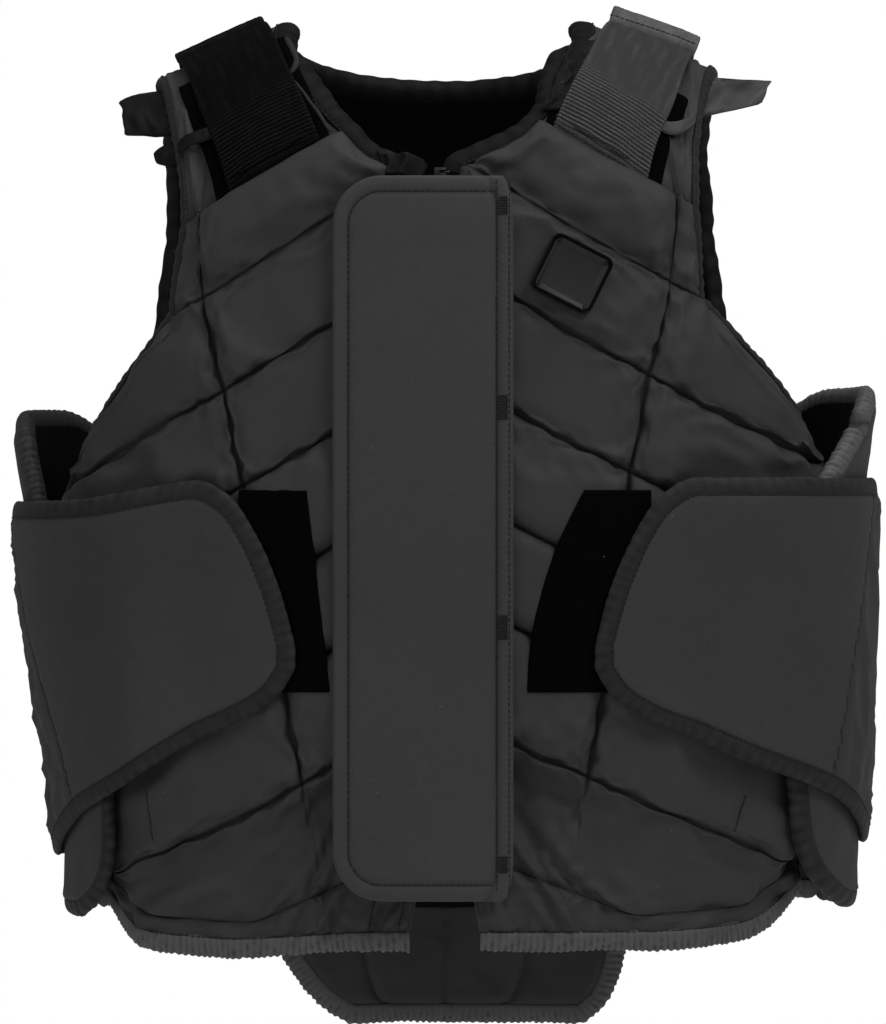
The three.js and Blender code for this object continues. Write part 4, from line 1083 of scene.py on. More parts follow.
# Reach along the width and height between roof, 1, and floor, 0, of a folded tape round an edge
tapeProfile = np.array([[-0.26, 0.86], [-0.2, 1.0], [-0.02, 1.05], [0.2, 1.04], [0.42, 1.0], [0.64, 0.93],
                        [0.82, 0.82], [0.94, 0.67], [1.0, 0.5], [0.94, 0.33], [0.82, 0.18], [0.64, 0.07],
                        [0.42, 0.0], [0.2, -0.04], [-0.02, -0.03], [-0.26, 0.02]])


def bindEdge(name, nodes, angle, climb, inAngle, inClimb, floor, roof, look, seed):
    # Folded tape along an edge on the body, gathered by its elastic
    foot = bodySkin(angle, climb)
    normals = bodyNormal(angle, climb)
    inward = bodySkin(inAngle, inClimb) - foot
    line, at, normals, inward, floor, roof = resample(foot, look["step"], normals, inward, floor, roof)
    along, normals = pathNormals(line, unit(normals))
    away = np.cross(along, normals)
    away *= np.where((away * inward).sum(-1, keepdims=True) > 0, -1.0, 1.0)
    for _ in range(look["smooth"]):
        away[1:-1] = unit(away[:-2] + away[1:-1] * 2 + away[2:])
    reach, high = tapeProfile[:, 0], tapeProfile[:, 1]
    reachNow = reach[None, :] * look["width"]
    liftNow = floor[:, None] + (roof - floor)[:, None] * high[None, :]
    liftNow[:, :2] -= look["tuck"]  # the lip, pressed into the cloth
    s = np.arange(len(reach))[None, :]
    far = at[:, None]
    pucker = waves(far + 0 * s, s * 3.0, seed, look["pitch"] * 2.2, 2)
    ripple = np.sin(far * math.tau / look["pitch"] + 2.2 * waves(far, s * 2.0, seed + 1, 40, 2))
    bulge = look["gather"] * (0.55 * pucker + 0.6 * ripple) * np.clip(reach[None, :] + 0.25, 0, 1) ** 0.5
    sag = look["wobble"] * waves(far, 0 * far, seed + 2, 70, 2)
    outX, outZ = reach[None, :] - 0.35, high[None, :] - 0.5
    scale = np.hypot(outX, outZ * 1.3)
    reachNow = reachNow + bulge * outX / scale + sag * np.clip(reach[None, :], 0, 1)
    liftNow = liftNow + bulge * outZ * 1.3 / scale
    rings = line[:, None, :] + away[:, None, :] * reachNow[..., None]
    rings = rings + normals[:, None, :] * liftNow[..., None]
    girth = np.concatenate([[0], np.cumsum(np.hypot(np.diff(reach) * look["width"], np.diff(high) * 8))])
    uv = np.stack([far + 0 * reachNow, girth[None, :] + 0 * reachNow], axis=-1)
    gathered = bulge / max(look["gather"], 0.05)
    highlightAndWear = np.clip(0.35 + 0.65 * gathered, 0, 1) * np.clip(reach[None, :] * 1.2, 0, 1)
    # Painted shade in the hollows of the gathers and on the lip pressed under the tape
    fold = np.clip(-0.2 - gathered, 0, 1) + 0.6 * (reach[None, :] < -0.1)
    piece = makeTube(name, rings, uv, {"highlightAndWear": highlightAndWear + 0 * reachNow, "fold": fold + 0 * reachNow})
    wide = np.linalg.norm(rings - np.roll(rings, 1, axis=1), axis=-1).sum(axis=1).mean() / 2
    flat = (float(wide) * mm, float(at[-1]) * mm)
    finishPiece(piece, look["material"], look["slot"], *nodes,
                sheet={"flat": flat, "held": "stretched", "rests_on": look["on"]})
    # The line of its stitches and the normals under them
    return mix(rings[:, 1], rings[:, 2] + normals * 0.1, 0.8), normals


blackEdge = {"step": 1.6, "width": 8.5, "gather": 0.22, "pitch": 6.0, "wobble": 0.3, "smooth": 3, "tuck": 0,
             "material": blackTape, "slot": "black_tape", "on": []}
greyEdge = blackEdge | {"step": 0.9, "width": 9.0, "gather": 0.75, "pitch": 3.4, "wobble": 0.5,
                        "material": greyTape, "slot": "grey_tape"}
degrees = math.pi / 180

# Side panels, under the wings. Front and back are in degrees round from the front.
sidePad = {"top": 188, "height": 262, "low": 20.95, "thick": 11, "flare": 8, "binding": 8, "round": 9,
           "tapeUnder": 0.2, "tapeOver": -1.4, "tapeJoin": 0.55}
sideCurves = {"down": [0.0, 0.08, 0.18, 0.4, 0.65, 0.85, 0.91, 0.955, 0.985, 1.0],
              "frontRight": [86, 83, 80, 70, 61, 61, 62, 65, 70, 75],
              "frontLeft": [80, 73, 66, 63, 60, 62, 64, 68, 74, 80],
              "back": [120, 122, 123, 123, 122, 120, 118, 115, 112, 110],
              "flare": [1.0, 0.6, 0.15, 0, 0, 0, 0.05, 0.12, 0.17, 0.2]}


def flareAt(climb):
    down = (body["shoulderDrop"] - sidePad["top"] - climb) / sidePad["height"]
    return sidePad["flare"] * readTable(sideCurves, "down", "flare", down)


def rimOf(u, v):
    # How far each place of a piece is from its nearest edge
    return np.minimum(np.minimum(u - u[:, :1], u[:, -1:] - u), np.minimum(-v, v - v[-1:]))


def makeSide(side):
    word = wordOf(side)
    down = spread(64, 0.1)[:, None]
    share = spread(44, 0.1)[None, :]
    # The top is round at both corners
    dip = 15 * np.clip(1 - share / 0.3, 0, 1) ** 2.2 + 9 * np.clip((share - 0.75) / 0.25, 0, 1) ** 2.2
    dip = dip * np.clip(1 - down * 2.2, 0, 1) ** 1.5
    forward = readTable(sideCurves, "down", "frontRight" if side < 0 else "frontLeft", down)
    angle = side * mix(forward, readTable(sideCurves, "down", "back", down), share) * degrees
    climb = body["shoulderDrop"] - sidePad["top"] - down * sidePad["height"] - dip
    base = sidePad["low"] + flareAt(climb)
    cloth = clothCoordinates(lifted(angle, climb, base))
    u, v = cloth[..., 0], cloth[..., 1]
    gap = rimOf(u, v)
    lift = base + sidePad["thick"] - 2 + 2 * roundRise(gap, sidePad["round"])
    lift += 1.1 * np.clip(gap / 8, 0, 1) * waves(u, v * 0.6, 61 + side, 55, 3)
    outer = lifted(angle, climb, lift)
    # The first mask is wear near the edges, the second painted shade along the edges where the bindings lie
    masks = {"highlightAndWear": np.exp(-gap / 3) * 0.4, "fold": np.exp(-gap / 1.5) * 0.7}
    piece = makeShell("side_panel_" + word + "_cloth", lifted(angle, climb, base), outer, cloth, masks)
    finishPiece(piece, shellCloth, "shell_cloth", "side_panel_" + word, padded=0.6, lining=liningCloth)
    # Grey tape up the front edge and over the top, black tape under the lower end, joined on the front edge
    grids = (angle + 0 * climb, climb + 0 * angle, base)
    own = {"width": sidePad["binding"], "on": ["side_panel_" + word + "_cloth"], "step": 1.0}
    join, lowEnd = int(np.argmin(np.abs(down[:, 0] - sidePad["tapeJoin"]))), int(angle.shape[1] * 0.85)
    upper = [np.concatenate([grid[join::-1, 0], grid[0, 1:]]) for grid in grids]
    upperIn = [np.concatenate([grid[join::-1, 1], grid[1, 1:]]) for grid in grids[:2]]
    lower = [np.concatenate([grid[-1, lowEnd::-1], grid[-2:join:-1, 0]]) for grid in grids]
    lowerIn = [np.concatenate([grid[-2, lowEnd::-1], grid[-2:join:-1, 1]]) for grid in grids[:2]]
    under, over = sidePad["tapeUnder"], sidePad["thick"] + sidePad["tapeOver"]
    look = greyEdge | own | ({"material": shadedTape, "gather": 0.5} if side < 0 else {})
    bindEdge("side_binding_" + word + "_tape", ["side_binding_" + word], *upper[:2], *upperIn,
             upper[2] + under, upper[2] + over, look, 64 + side)
    look = greyEdge | own | {"material": blackTape, "gather": 0.4, "pitch": 7.0, "smooth": 12}
    bindEdge("side_binding_" + word + "_low_tape", [], *lower[:2], *lowerIn,
             lower[2] + under, lower[2] + over, look, 67 + side)


for side in (-1, 1):
    makeSide(side)
print("side panels ready")

# Waist wings. Along is a share from tip to back end, top and bottom are shares of the wing's height.
wing = {"tip": 22.2, "end": 112, "top": 229, "height": 195, "binding": 8.5, "thick": 6.5, "onFront": 22.0,
        "onSide": 32.9}
wingCurves = {
    "along": [0.0, 0.027, 0.065, 0.109, 0.163, 0.215, 0.272, 0.33, 0.391, 0.45, 0.511, 0.57, 0.63, 0.7,
              0.77, 1.0],
    "top": [0.405, 0.256, 0.123, 0.036, 0, 0, 0, 0, 0, 0, 0, 0, 0, 0, 0, 0],
    "bottom": [0.544, 0.605, 0.646, 0.677, 0.703, 0.735, 0.769, 0.797, 0.82, 0.843, 0.867, 0.9, 0.938,
               0.98, 1, 1],
}
# The sewn line near the side, in degrees at its top and bottom, and the loose cloth behind it
wingSewn = {"top": 86, "bottom": 70, "leftShift": -5, "perDegree": 2.6, "groove": 0.8}
wingLoose = {"wave": 1.8, "wavePitch": 50, "crease": 2.2, "creasePitch": 48, "sunk": 0.7}


def wingBase(angle, climb):
    onSide = wing["onSide"] + flareAt(climb)
    return mix(wing["onFront"], onSide, smoothStep(34, 52, np.abs(angle) / degrees))


def makeWing(side):
    word = wordOf(side)
    along = np.concatenate([np.linspace(0, 1, 25)[:-1] ** 1.5 * 0.11, np.linspace(0.11, 1, 80)])[:, None]
    share = spread(40, 0.12)[None, :]
    inset = wing["binding"] / wing["height"]
    top = readTable(wingCurves, "along", "top", along) + inset
    bottom = readTable(wingCurves, "along", "bottom", along) - inset
    angle = mix(wing["tip"], wing["end"], along) * degrees * side + 0 * share
    climb = body["shoulderDrop"] - wing["top"] - wing["height"] * mix(top, bottom, share)
    base = wingBase(angle, climb)
    middle = lifted(angle, climb, base + wing["thick"])
    cloth = clothCoordinates(middle)
    cloth = np.stack([cloth[..., 1], cloth[..., 0]], axis=-1)
    u, v = -cloth[..., 0], cloth[..., 1]
    gap = np.minimum(np.minimum(u, u[-1:] - u), np.minimum(v - v[:, :1], v[:, -1:] - v))
    down = (v - v[:, :1]) / (v[:, -1:] - v[:, :1])
    sewn = mix(wingSewn["top"], wingSewn["bottom"], down) + (0 if side < 0 else wingSewn["leftShift"])
    beyond = (np.abs(angle) / degrees - sewn) * wingSewn["perDegree"]
    lift = base + wing["thick"] - 1.5 + 1.5 * roundRise(gap, 5)
    lift += np.clip(gap / 10, 0, 1) * 0.5 * waves(u, v, 71 + side, 110, 2)
    loose = smoothStep(0, 12, beyond) * np.clip(gap / 6, 0, 1)
    wave = waves(u * 1.7, v * 0.8, 74 + side, wingLoose["wavePitch"], 3)
    crease = creases(u * 1.5, v * 0.9 - u * 0.6, 78 + side, wingLoose["creasePitch"], 3.0)
    lift += loose * (wingLoose["wave"] * wave + wingLoose["crease"] * crease - wingLoose["sunk"])
    lift -= wingSewn["groove"] * np.exp(-(beyond / 1.6) ** 2)
    outer = lifted(angle, climb, lift)
    # The first mask is wear near the edges, the second painted shade along the edges and in the sewn groove
    masks = {"highlightAndWear": np.exp(-gap / 3) * 0.3,
             "fold": np.maximum(np.exp(-gap / 1.4) * 0.8, np.exp(-np.abs(beyond) / 1.0))}
    piece = makeShell("waist_wing_" + word + "_cloth", lifted(angle, climb, base), outer, cloth, masks)
    finishPiece(piece, shellCloth, "shell_cloth", "waist_wing_" + word, padded=0.5, lining=liningCloth)
    grids = (angle, climb, base)
    edge = [np.concatenate([grid[:0:-1, 0], grid[0, :], grid[1:, -1]]) for grid in grids]
    within = [np.concatenate([grid[:0:-1, 1], grid[1, :], grid[1:, -2]]) for grid in grids[:2]]
    look = blackEdge | {"width": wing["binding"], "on": ["waist_wing_" + word + "_cloth"], "smooth": 8}
    tape = bindEdge("wing_binding_" + word + "_tape", ["wing_binding_" + word], *edge[:2], *within,
                    edge[2] + 0.1, edge[2] + wing["thick"] - 0.9, look, 76 + side)
    normals = gridNormals(outer, bodyNormal(angle, climb))
    sewnRows = np.argmin(np.abs(beyond), axis=0)
    columns = np.arange(2, len(sewnRows) - 2)
    rows = sewnRows[columns]
    sew("wing_stitches_" + word, [tape, (outer[rows, columns], normals[rows, columns])])


for side in (-1, 1):
    makeWing(side)
print("wings ready")


def bindFront(panel):
    word, side, angle, climb = (panel[key] for key in ("word", "side", "angle", "climb"))
    own = ["front_panel_" + word + "_cloth"]
    last = angle.shape[1] - 1
    floor, roof = 0 * angle + 0.3, np.minimum(panel["lift"], front["shoulderFoam"]) + 0.5
    heightAt = lifted(angle, climb, front["edgeFoam"])[..., 2]
    neckEnd = int(np.argmax(-heightAt[:, 0] > front["neckDepth"] * (0.97 if side < 0 else 0.985)))
    armEnd = int(np.argmax(-heightAt[:, last] > front["armholeDepth"] * 0.97))
    neckLook = {"width": 9.5, "gather": 0.4, "pitch": 11.0, "wobble": 0.9, "material": deepTape}
    armLook = {"width": 5.0, "gather": 0.5, "pitch": 7.0, "wobble": 1.0}
    hemLook = {"width": 9.5, "wobble": 0.8, "tuck": 2.2}
    neck, arm, hem = slice(0, neckEnd), slice(0, armEnd), slice(0, last - 1)
    edges = [("neck", blackEdge | neckLook, (neck, 0), (neck, 1), roof, 81),
             ("armhole", blackEdge | armLook, (arm, last), (arm, last - 1), roof, 84),
             ("hem", greyEdge | hemLook, (-1, hem), (-2, hem), panel["lift"] + 1.2, 87)]
    tapes = []
    for edge, look, at, within, height, seed in edges:
        name = edge + "_binding_" + word
        tapes.append(bindEdge(name + "_tape", [name], angle[at], climb[at], angle[within], climb[within],
                              floor[at], height[at], look | {"on": own}, seed + side))
    sew("front_edge_stitches_" + word, tapes, pitch=3.1)


for panel in fronts:
    bindFront(panel)


def bindBack():
    angle, climb = backPad["angle"], backPad["climb"]
    last = angle.shape[1] - 1
    floor = 0 * angle + 0.3
    roof = 0 * angle + back["edgeFoam"] + 0.5
    heightAt = lifted(angle, climb, back["edgeFoam"])
    overNeck = np.abs(backPad["shares"]) * front["shoulderReach"] < front["neckReach"]
    neckLook = {"width": 9.5, "gather": 0.35, "pitch": 13.0, "wobble": 0.9, "material": deepTape}
    armLook = {"width": 5.0, "gather": 0.5, "pitch": 12.0, "wobble": 1.2, "material": deepTape}
    edges = [("neck_binding_back", blackEdge | neckLook, (0, overNeck), (1, overNeck), 91)]
    for side, column in ((-1, 0), (1, last)):
        armEnd = int(np.argmax(-heightAt[:, column, 2] > front["armholeDepth"] * 0.84))
        arm, within = slice(0, armEnd), column - side
        edges.append(("back_armhole_binding_" + wordOf(side), blackEdge | armLook,
                      (arm, column), (arm, within), 93 + side))
        places = np.arange(last + 1)
        clear = side * heightAt[-1, :, 0] > back["tailReach"] + back["tailGap"]
        hem = np.flatnonzero(clear & (places > 0) & (places < last))
        edges.append(("back_hem_binding_" + wordOf(side), greyEdge | {"width": 9.5}, (-1, hem), (-2, hem),
                      96 + side))
    tapes = []
    for name, look, at, within, seed in edges:
        tapes.append(bindEdge(name + "_tape", [name], angle[at], climb[at], angle[within], climb[within],
                              floor[at], roof[at], look | {"on": ["back_panel_cloth"]}, seed))
    sew("back_edge_stitches", tapes, pitch=3.1)


bindBack()
print("front and back bindings ready")

# Tail, under the back panel
tail = {"reach": 92, "shift": 12, "drop": 56.4, "top": -462.6, "foam": 10, "seams": [-0.52, 0.0, 0.52],
        "binding": 8}
tailCurve = {"down": [0.0, 0.3, 0.6, 0.85, 1.0], "out": [1.0, 0.97, 0.9, 0.8, 0.68]}


def makeTail():
    down = spread(26, 0.06)[:, None]
    share = np.linspace(-1, 1, 111)[None, :]
    out = readTable(tailCurve, "down", "out", down)
    x = share * out * tail["reach"] + tail["shift"] * down + 0.01
    z = tail["top"] - down * tail["drop"] + 0 * x
    angle, climb = seat(x, z, tail["foam"], behind=True)
    cloth = np.stack([x, z], axis=-1)
    inner = lifted(angle, climb, 0.0)
    seamGap = np.min([np.abs(x - seam * tail["reach"] * out) for seam in tail["seams"]], axis=0)
    rimGap = np.minimum(np.minimum((1 - np.abs(share)) * out * tail["reach"], (1 - down) * tail["drop"]),
                        down * tail["drop"] + 6)
    puff = roundRise(seamGap, 9) * roundRise(rimGap, 9)
    lift = tail["foam"] - 3 + 3 * puff + 0.4 * puff * waves(x, z, 101, 30, 2)
    hollow = 2.6 * (1 - puff) - 0.5 * puff * waves(x, z, 102, 40, 2)
    outer = lifted(angle, climb, lift)
    inner = lifted(angle, climb, np.clip(hollow, 0, 4))
    # The first mask is wear at the rim, the second painted shade along the seams
    masks = {"highlightAndWear": np.exp(-rimGap / 3) * 0.3, "fold": np.exp(-seamGap / 1.2) * 0.8}
    piece = makeShell("tail_flap_cloth", inner, outer, cloth, masks)
    finishPiece(piece, tailCloth, "lining", "tail_flap", padded=0.6)
    grids = [angle, climb, 0 * angle]
    edge = [np.concatenate([grid[2:, 0], grid[-1, 1:], grid[-2:1:-1, -1]]) for grid in grids]
    within = [np.concatenate([grid[2:, 1], grid[-2, 1:], grid[-2:1:-1, -2]]) for grid in grids[:2]]
    look = greyEdge | {"width": tail["binding"], "on": ["tail_flap_cloth"], "smooth": 10}
    tape = bindEdge("tail_binding_tape", ["tail_binding"], *edge[:2], *within,
                    edge[2] + 0.3, edge[2] + tail["foam"] - 1.8, look, 103)
    sew("tail_stitches", [tape], pitch=3.1)


makeTail()
print("tail ready")

# Shoulder straps. Each row is how far out and down the strap's two edges are, from its sewn end up.
strap = {"low": 15.2, "web": 3.0, "fold": 2.1, "ribPitch": 2.4, "ribHeight": 0.55, "ridgeOuter": 142,
         "ridgeInner": 96, "foldRise": {"right": 0.5, "left": 6.0}, "highlightAndWearAmount": {"right": 0.55, "left": 1.0},
         "sewnAt": 3.2, "foldAt": -11}
strapRows = {"outer": [111.5, 121, 131], "inner": [64.5, 75, 86],
             "outerDown": [80.5, 54, 30], "innerDown": [54.5, 29, 5],
             "leftRaise": [8.5, 5, 2], "leftOuterRaise": [4, 3, 2]}
webLook = plainLook | {"across": 1.15, "down": 0.75, "streakLength": 0.9, "streakWidth": 14.0, "gaps": 0.55,
                       "threadHeight": 0.2}
# Lit and shaded copies of one webbing: painted lighter for the wearer's left strap, as lit, and darker for
# the right strap and its stitches, as painted shade
webbing = makeCloth("webbing", webLook | shades(0.0145, 0.021, 0.036, 0.0015, 0.14) | {
    "streak": 0.45, "highlightAndWearAmount": 1.0, "foldShade": 0.95})
shadedWebbing = makeCloth("shadedWebbing", webLook | shades(0.0008, 0.0014, 0.003, 0.0003, 0.045) | {
    "streak": 0.4, "highlightAndWearAmount": 0.7, "specular": 0.05, "sheen": 0.0})
pileTape = makeCloth("pileTape", plainLook | shades(0.0012, 0.0022, 0.0045, 0.0005, 0.008) | {
    "across": 0.8, "down": 0.8, "streakLength": 1.4, "streakWidth": 1.2, "rough": 0.9, "specular": 0.04,
    "sheen": 0.0, "threadHeight": 0.16, "streakHeight": 0.35, "mottleHeight": 0.3, "gaps": 0.3,
    "lint": 0.004})


def strapPlaces(side, shares):
    rows = []
    for k in range(3):
        raised = (strapRows["leftRaise"][k], strapRows["leftOuterRaise"][k]) if side > 0 else (0, 0)
        ends = [seat(side * strapRows[edge][k], up - strapRows[edge + "Down"][k], strap["low"])
                for edge, up in zip(("inner", "outer"), raised)]
        (innerAngle, innerClimb), (outerAngle, outerClimb) = ends
        row = [mix(innerAngle, outerAngle, shares), mix(innerClimb, outerClimb, shares)]
        rows.append(np.stack(row, axis=-1))
    innerTop, _ = seat(side * strap["ridgeInner"], body["shoulderDrop"], strap["low"])
    outerTop, _ = seat(side * strap["ridgeOuter"], body["shoulderDrop"], strap["low"])
    walk = body["shoulderWalk"]
    for climb in (walk - 14, walk, walk + 14, walk * 1.3, walk * 1.6):
        rows.append(np.stack([mix(innerTop, outerTop, shares), climb + 0 * shares], axis=-1))
    return np.array(rows)


def makeStrap(side):
    word = wordOf(side)
    shares = spread(40, 0.12)
    places = upsample(strapPlaces(side, shares), 44, axes=(0,))
    angle, climb = places[..., 0], places[..., 1]
    cloth = clothCoordinates(lifted(angle, climb, strap["low"]))
    cloth[..., 1] *= -1
    u, walked = cloth[..., 0], cloth[..., 1]
    rimGap = np.minimum(u - u[:, :1], u[:, -1:] - u)
    toFold = climb - body["shoulderWalk"]
    folded = smoothStep(-15, -12.5, toFold) * smoothStep(30, 12, toFold)
    ribbed = smoothStep(3, 8, walked) * smoothStep(50, 40, walked + 3 * waves(u, 0 * u, 111, 30, 1))
    bow = walked + 2.6 * (2 * u / 62) ** 2 + 0.5 * waves(u, walked, 112 + side, 26, 2)
    ribs = np.sin(bow * math.tau / strap["ribPitch"])
    tall = smoothStep(-14, -4, toFold) * smoothStep(24, 6, toFold) * strap["foldRise"][word]
    base = strap["low"] - 1.6 * (1 - smoothStep(0, 9, walked)) + 0.5 * waves(u, walked, 113 + side, 60, 2)
    base = base + tall
    thick = strap["web"] - 1.0 + 1.0 * roundRise(rimGap, 1.4)
    lift = base + thick + strap["fold"] * folded * roundRise(rimGap + 1, 2.0)
    lift += strap["ribHeight"] * ribs * ribbed * np.clip(rimGap / 1.5, 0, 1)
    lift += 0.10 * np.sin(u * math.tau / 2.2) * (1 - ribbed)
    outer = lifted(angle, climb, lift)
    inner = lifted(angle, climb, base + 0.5 * (1 - roundRise(rimGap, 1.4)))
    brushStreaksAndFoldHighlight = 0.35 * np.clip(waves(u * 3.0, walked * 0.25, 116 + side, 16, 3), 0, 1) * (1 - ribbed)
    # A painted highlight band just below the top fold
    brushStreaksAndFoldHighlight = brushStreaksAndFoldHighlight + 0.8 * np.exp(-((toFold + 9) / 5) ** 2)
    # Painted highlight on the rib tops
    ribTopHighlight = ribbed * np.clip(ribs, 0, 1) * 0.95
    # Also a painted highlight over the folded part; the edge term is wear
    highlightAndWear = np.clip(0.1 + brushStreaksAndFoldHighlight + 0.3 * folded + ribTopHighlight + np.exp(-rimGap / 1.2) * 0.3, 0, 1)
    # Per side, which scales the strap's wear and painted highlights together
    highlightAndWear = highlightAndWear * strap["highlightAndWearAmount"][word]
    # Painted shade in the rib hollows and at the end sewn into the seam
    fold = np.clip(1.5 * ribbed * np.clip(-ribs, 0, 1) + np.exp(-walked / 2.0), 0, 1)
    # The wearer's right strap takes the shaded copy of the webbing, a painted shade
    makeSheet("shoulder_strap_" + word + "_web", inner, outer, cloth, {"highlightAndWear": highlightAndWear, "fold": fold},
              webbing if side > 0 else shadedWebbing, "webbing", ["shoulder_strap_" + word],
              "folded", ["front_panel_" + word + "_cloth"])
    normals = gridNormals(outer, bodyNormal(angle, climb))
    row = int(np.argmin(np.abs(walked.mean(axis=1) - strap["sewnAt"])))
    top = int(np.argmin(np.abs(toFold.mean(axis=1) - strap["foldAt"])))
    lines = [(outer[k, 1:-1], normals[k, 1:-1]) for k in (row, row + 6, top)]
    # Stitches on the shaded strap take the shaded webbing, a painted shade
    sew("strap_stitches_" + word, lines, threadMaterial if side > 0 else shadedWebbing, pitch=2.8)
    return places, walked


# Hook tape under each strap's outer edge: where it starts and ends along the strap, its shares across it
hookTape = {"from": 1.0, "to": {"right": 96.0, "left": 74.0}, "across": (-0.09, 1.17), "low": 12.9,
            "top": 13.1, "thick": 1.3}


def makeHookTape(side, places, walked):
    word = wordOf(side)
    first, last = (int(np.argmin(np.abs(walked.mean(axis=1) - at)))
                   for at in (hookTape["from"], hookTape["to"][word]))
    rows = places[first:last:3]
    shares = np.linspace(*hookTape["across"], 40)[None, :, None]
    grid = rows[:, :1] + (rows[:, -1:] - rows[:, :1]) * shares
    angle, climb = grid[..., 0], grid[..., 1]
    cloth = clothCoordinates(lifted(angle, climb, 13))
    u, v = cloth[..., 0], cloth[..., 1]
    lift = hookTape["top"] + hookTape["thick"] * roundRise(rimOf(u, v), 1.5)
    lift = lift + 0.35 * waves(u, v, 121 + side, 18, 2)
    inner = lifted(angle, climb, hookTape["low"])
    makeSheet("hook_tape_" + word + "_pile", inner, lifted(angle, climb, lift), cloth, None, pileTape,
              "loop_pile", ["hook_tape_" + word], "laid", ["front_panel_" + word + "_cloth"])


# Narrow bands: where each leaves the strap, its shares across, its width and how far its end rises
keeper = {"at": 44.0, "across": (0.93, 1.44), "width": 7.5, "rise": {"right": 5, "left": 22}, "low": 14.8,
          "arch": 2.6, "endDown": 3.0, "thick": 1.1}


def makeKeeper(side, places, walked):
    # A narrow band from the strap's outer edge over to the tab
    word = wordOf(side)
    row = places[int(np.argmin(np.abs(walked.mean(axis=1) - keeper["at"])))]
    start, end = keeper["across"]
    shares = np.linspace(start, end, 46)[:, None]
    width = np.linspace(0, keeper["width"], 15)[None, :]
    angle = mix(row[0, 0], row[-1, 0], shares) + 0 * width
    bend = keeper["rise"][word] * np.clip((shares - 1.02) / 0.42, 0, 1) ** 1.7
    climb = mix(row[0, 1], row[-1, 1], shares) - width + bend
    cloth = clothCoordinates(lifted(angle, climb, 14))
    rimGap = np.minimum(width, keeper["width"] - width)
    arch = keeper["arch"] * np.sin(np.clip((shares - 0.98) / 0.4, 0, 1) * math.pi)
    base = keeper["low"] + arch - keeper["endDown"] * smoothStep(1.36, end, shares)
    base = base + 0.5 * waves(cloth[..., 1], width, 131 + side, 12, 2)
    lift = base + 0.5 + keeper["thick"] * roundRise(rimGap, 1.6)
    masks = {"highlightAndWear": np.exp(-rimGap / 1.2) * 0.8, "fold": 0 * lift}
    makeSheet("strap_keeper_" + word + "_tape", lifted(angle, climb, base), lifted(angle, climb, lift), cloth,
              masks, paleTape if side > 0 else deepTape, "black_tape", ["strap_keeper_" + word], "stretched",
              ["shoulder_strap_" + word + "_web"])


# Shoulder tabs: each lobe's top, bottom and reach in millimetres, and how the cloth stands
tab = {"right": [(22, 46, 31.0), (52, 64, 17.0)], "left": [(19, 37, 33.0), (50, 58, 5.0)],
       "rise": {"right": -0.12, "left": 0.12}, "from": 16, "to": 72, "back": 0.3, "thick": 1.7, "under": 3.0,
       "crease": 2.8, "wave": 1.6, "fullness": 1.1}


def makeTab(side):
    # Crumpled cloth that stands out from the outer end of the shoulder in two lobes
    word = wordOf(side)
    panel = fronts[0 if side < 0 else 1]
    last = panel["angle"].shape[1] - 1
    edge = lifted(panel["angle"][:, last], panel["climb"][:, last], 6.0)
    down = np.arange(tab["from"], tab["to"], 0.9)
    rows = slice(0, int(np.argmax(-edge[:, 2] > tab["to"] + 4)) + 1)
    order = np.argsort(-edge[rows, 2])
    foot = np.stack([np.interp(down, -edge[rows, 2][order], edge[rows, k][order]) for k in range(3)], axis=-1)
    share = np.linspace(0, 1, 30)[None, :]
    outline = 0 * down
    for top, bottom, reach in tab[word]:
        lobe = reach * smoothStep(top - 5, top + 3, down) * smoothStep(bottom + 4, bottom - 3, down)
        outline = outline + lobe
    outline = outline + 1.5 + 1.2 * waves(down, 0 * down, 141 + side, 14, 2)
    reach = np.maximum(outline, 1.0)[:, None] * share
    crumple = tab["crease"] * creases(down[:, None] * 0.8, reach, 143 + side, 22, 2.0) - 1.0
    crumple = crumple + tab["wave"] * waves(down[:, None], reach, 145 + side, 18, 2)
    crumple = crumple * np.clip(share * 2.5, 0, 1)
    place = foot[:, None] + 0 * reach[..., None]
    place[..., 0] += side * (reach - tab["under"])
    place[..., 1] += tab["back"] * reach - crumple
    place[..., 2] += tab["rise"][word] * reach - 0.9 * waves(down[:, None], reach, 147 + side, 20, 2) * share
    fromEnds = np.minimum(down - down[0], down[-1] - down)[:, None]
    rimGap = np.clip(np.minimum((1 - share) * outline[:, None], fromEnds), 0, None)
    outer = place.copy()
    outer[..., 1] -= 0.5 + (tab["thick"] - 0.5) * roundRise(rimGap, 1.6)
    cloth = clothCoordinates(place)
    # Painted highlight on the crumple's crests and painted shade in its hollows; the rim term is wear
    masks = {"highlightAndWear": np.clip(crumple / 3, 0, 1) * 0.8 + np.exp(-rimGap / 1.2) * 0.7,
             "fold": np.clip(-crumple / 2, 0, 1)}
    piece = makeShell("shoulder_tab_" + word + "_cloth", place, outer, cloth, masks)
    cut = cutOf(piece, cloth, "gathered", ["front_panel_" + word + "_cloth"])
    # Along its ragged edge the pattern is too long, so its length comes from the cloth's area
    cut["flat"] = (cut["flat"][0], tab["fullness"] * cut["area"] / cut["flat"][0])
    finishPiece(piece, deepTape if side < 0 else paleTape, "black_tape", "shoulder_tab_" + word, sheet=cut)


# Rolled tape edges between the straps and the neck: across and down in millimetres, and half the thickness
neckRolls = {
    "right": [([(-84.3, 4.2), (-80.5, -3), (-78.4, -9), (-80, -14), (-83.7, -17.5)], 1.3),
              ([(-81, -18.5), (-75, -26), (-67, -37), (-60.2, -47.5)], 0.8)],
    "left": [([(92.5, 8), (87.5, 3), (82, -3)], 1.5), ([(75.5, -7), (71, -14), (67.5, -22)], 0.9)]}


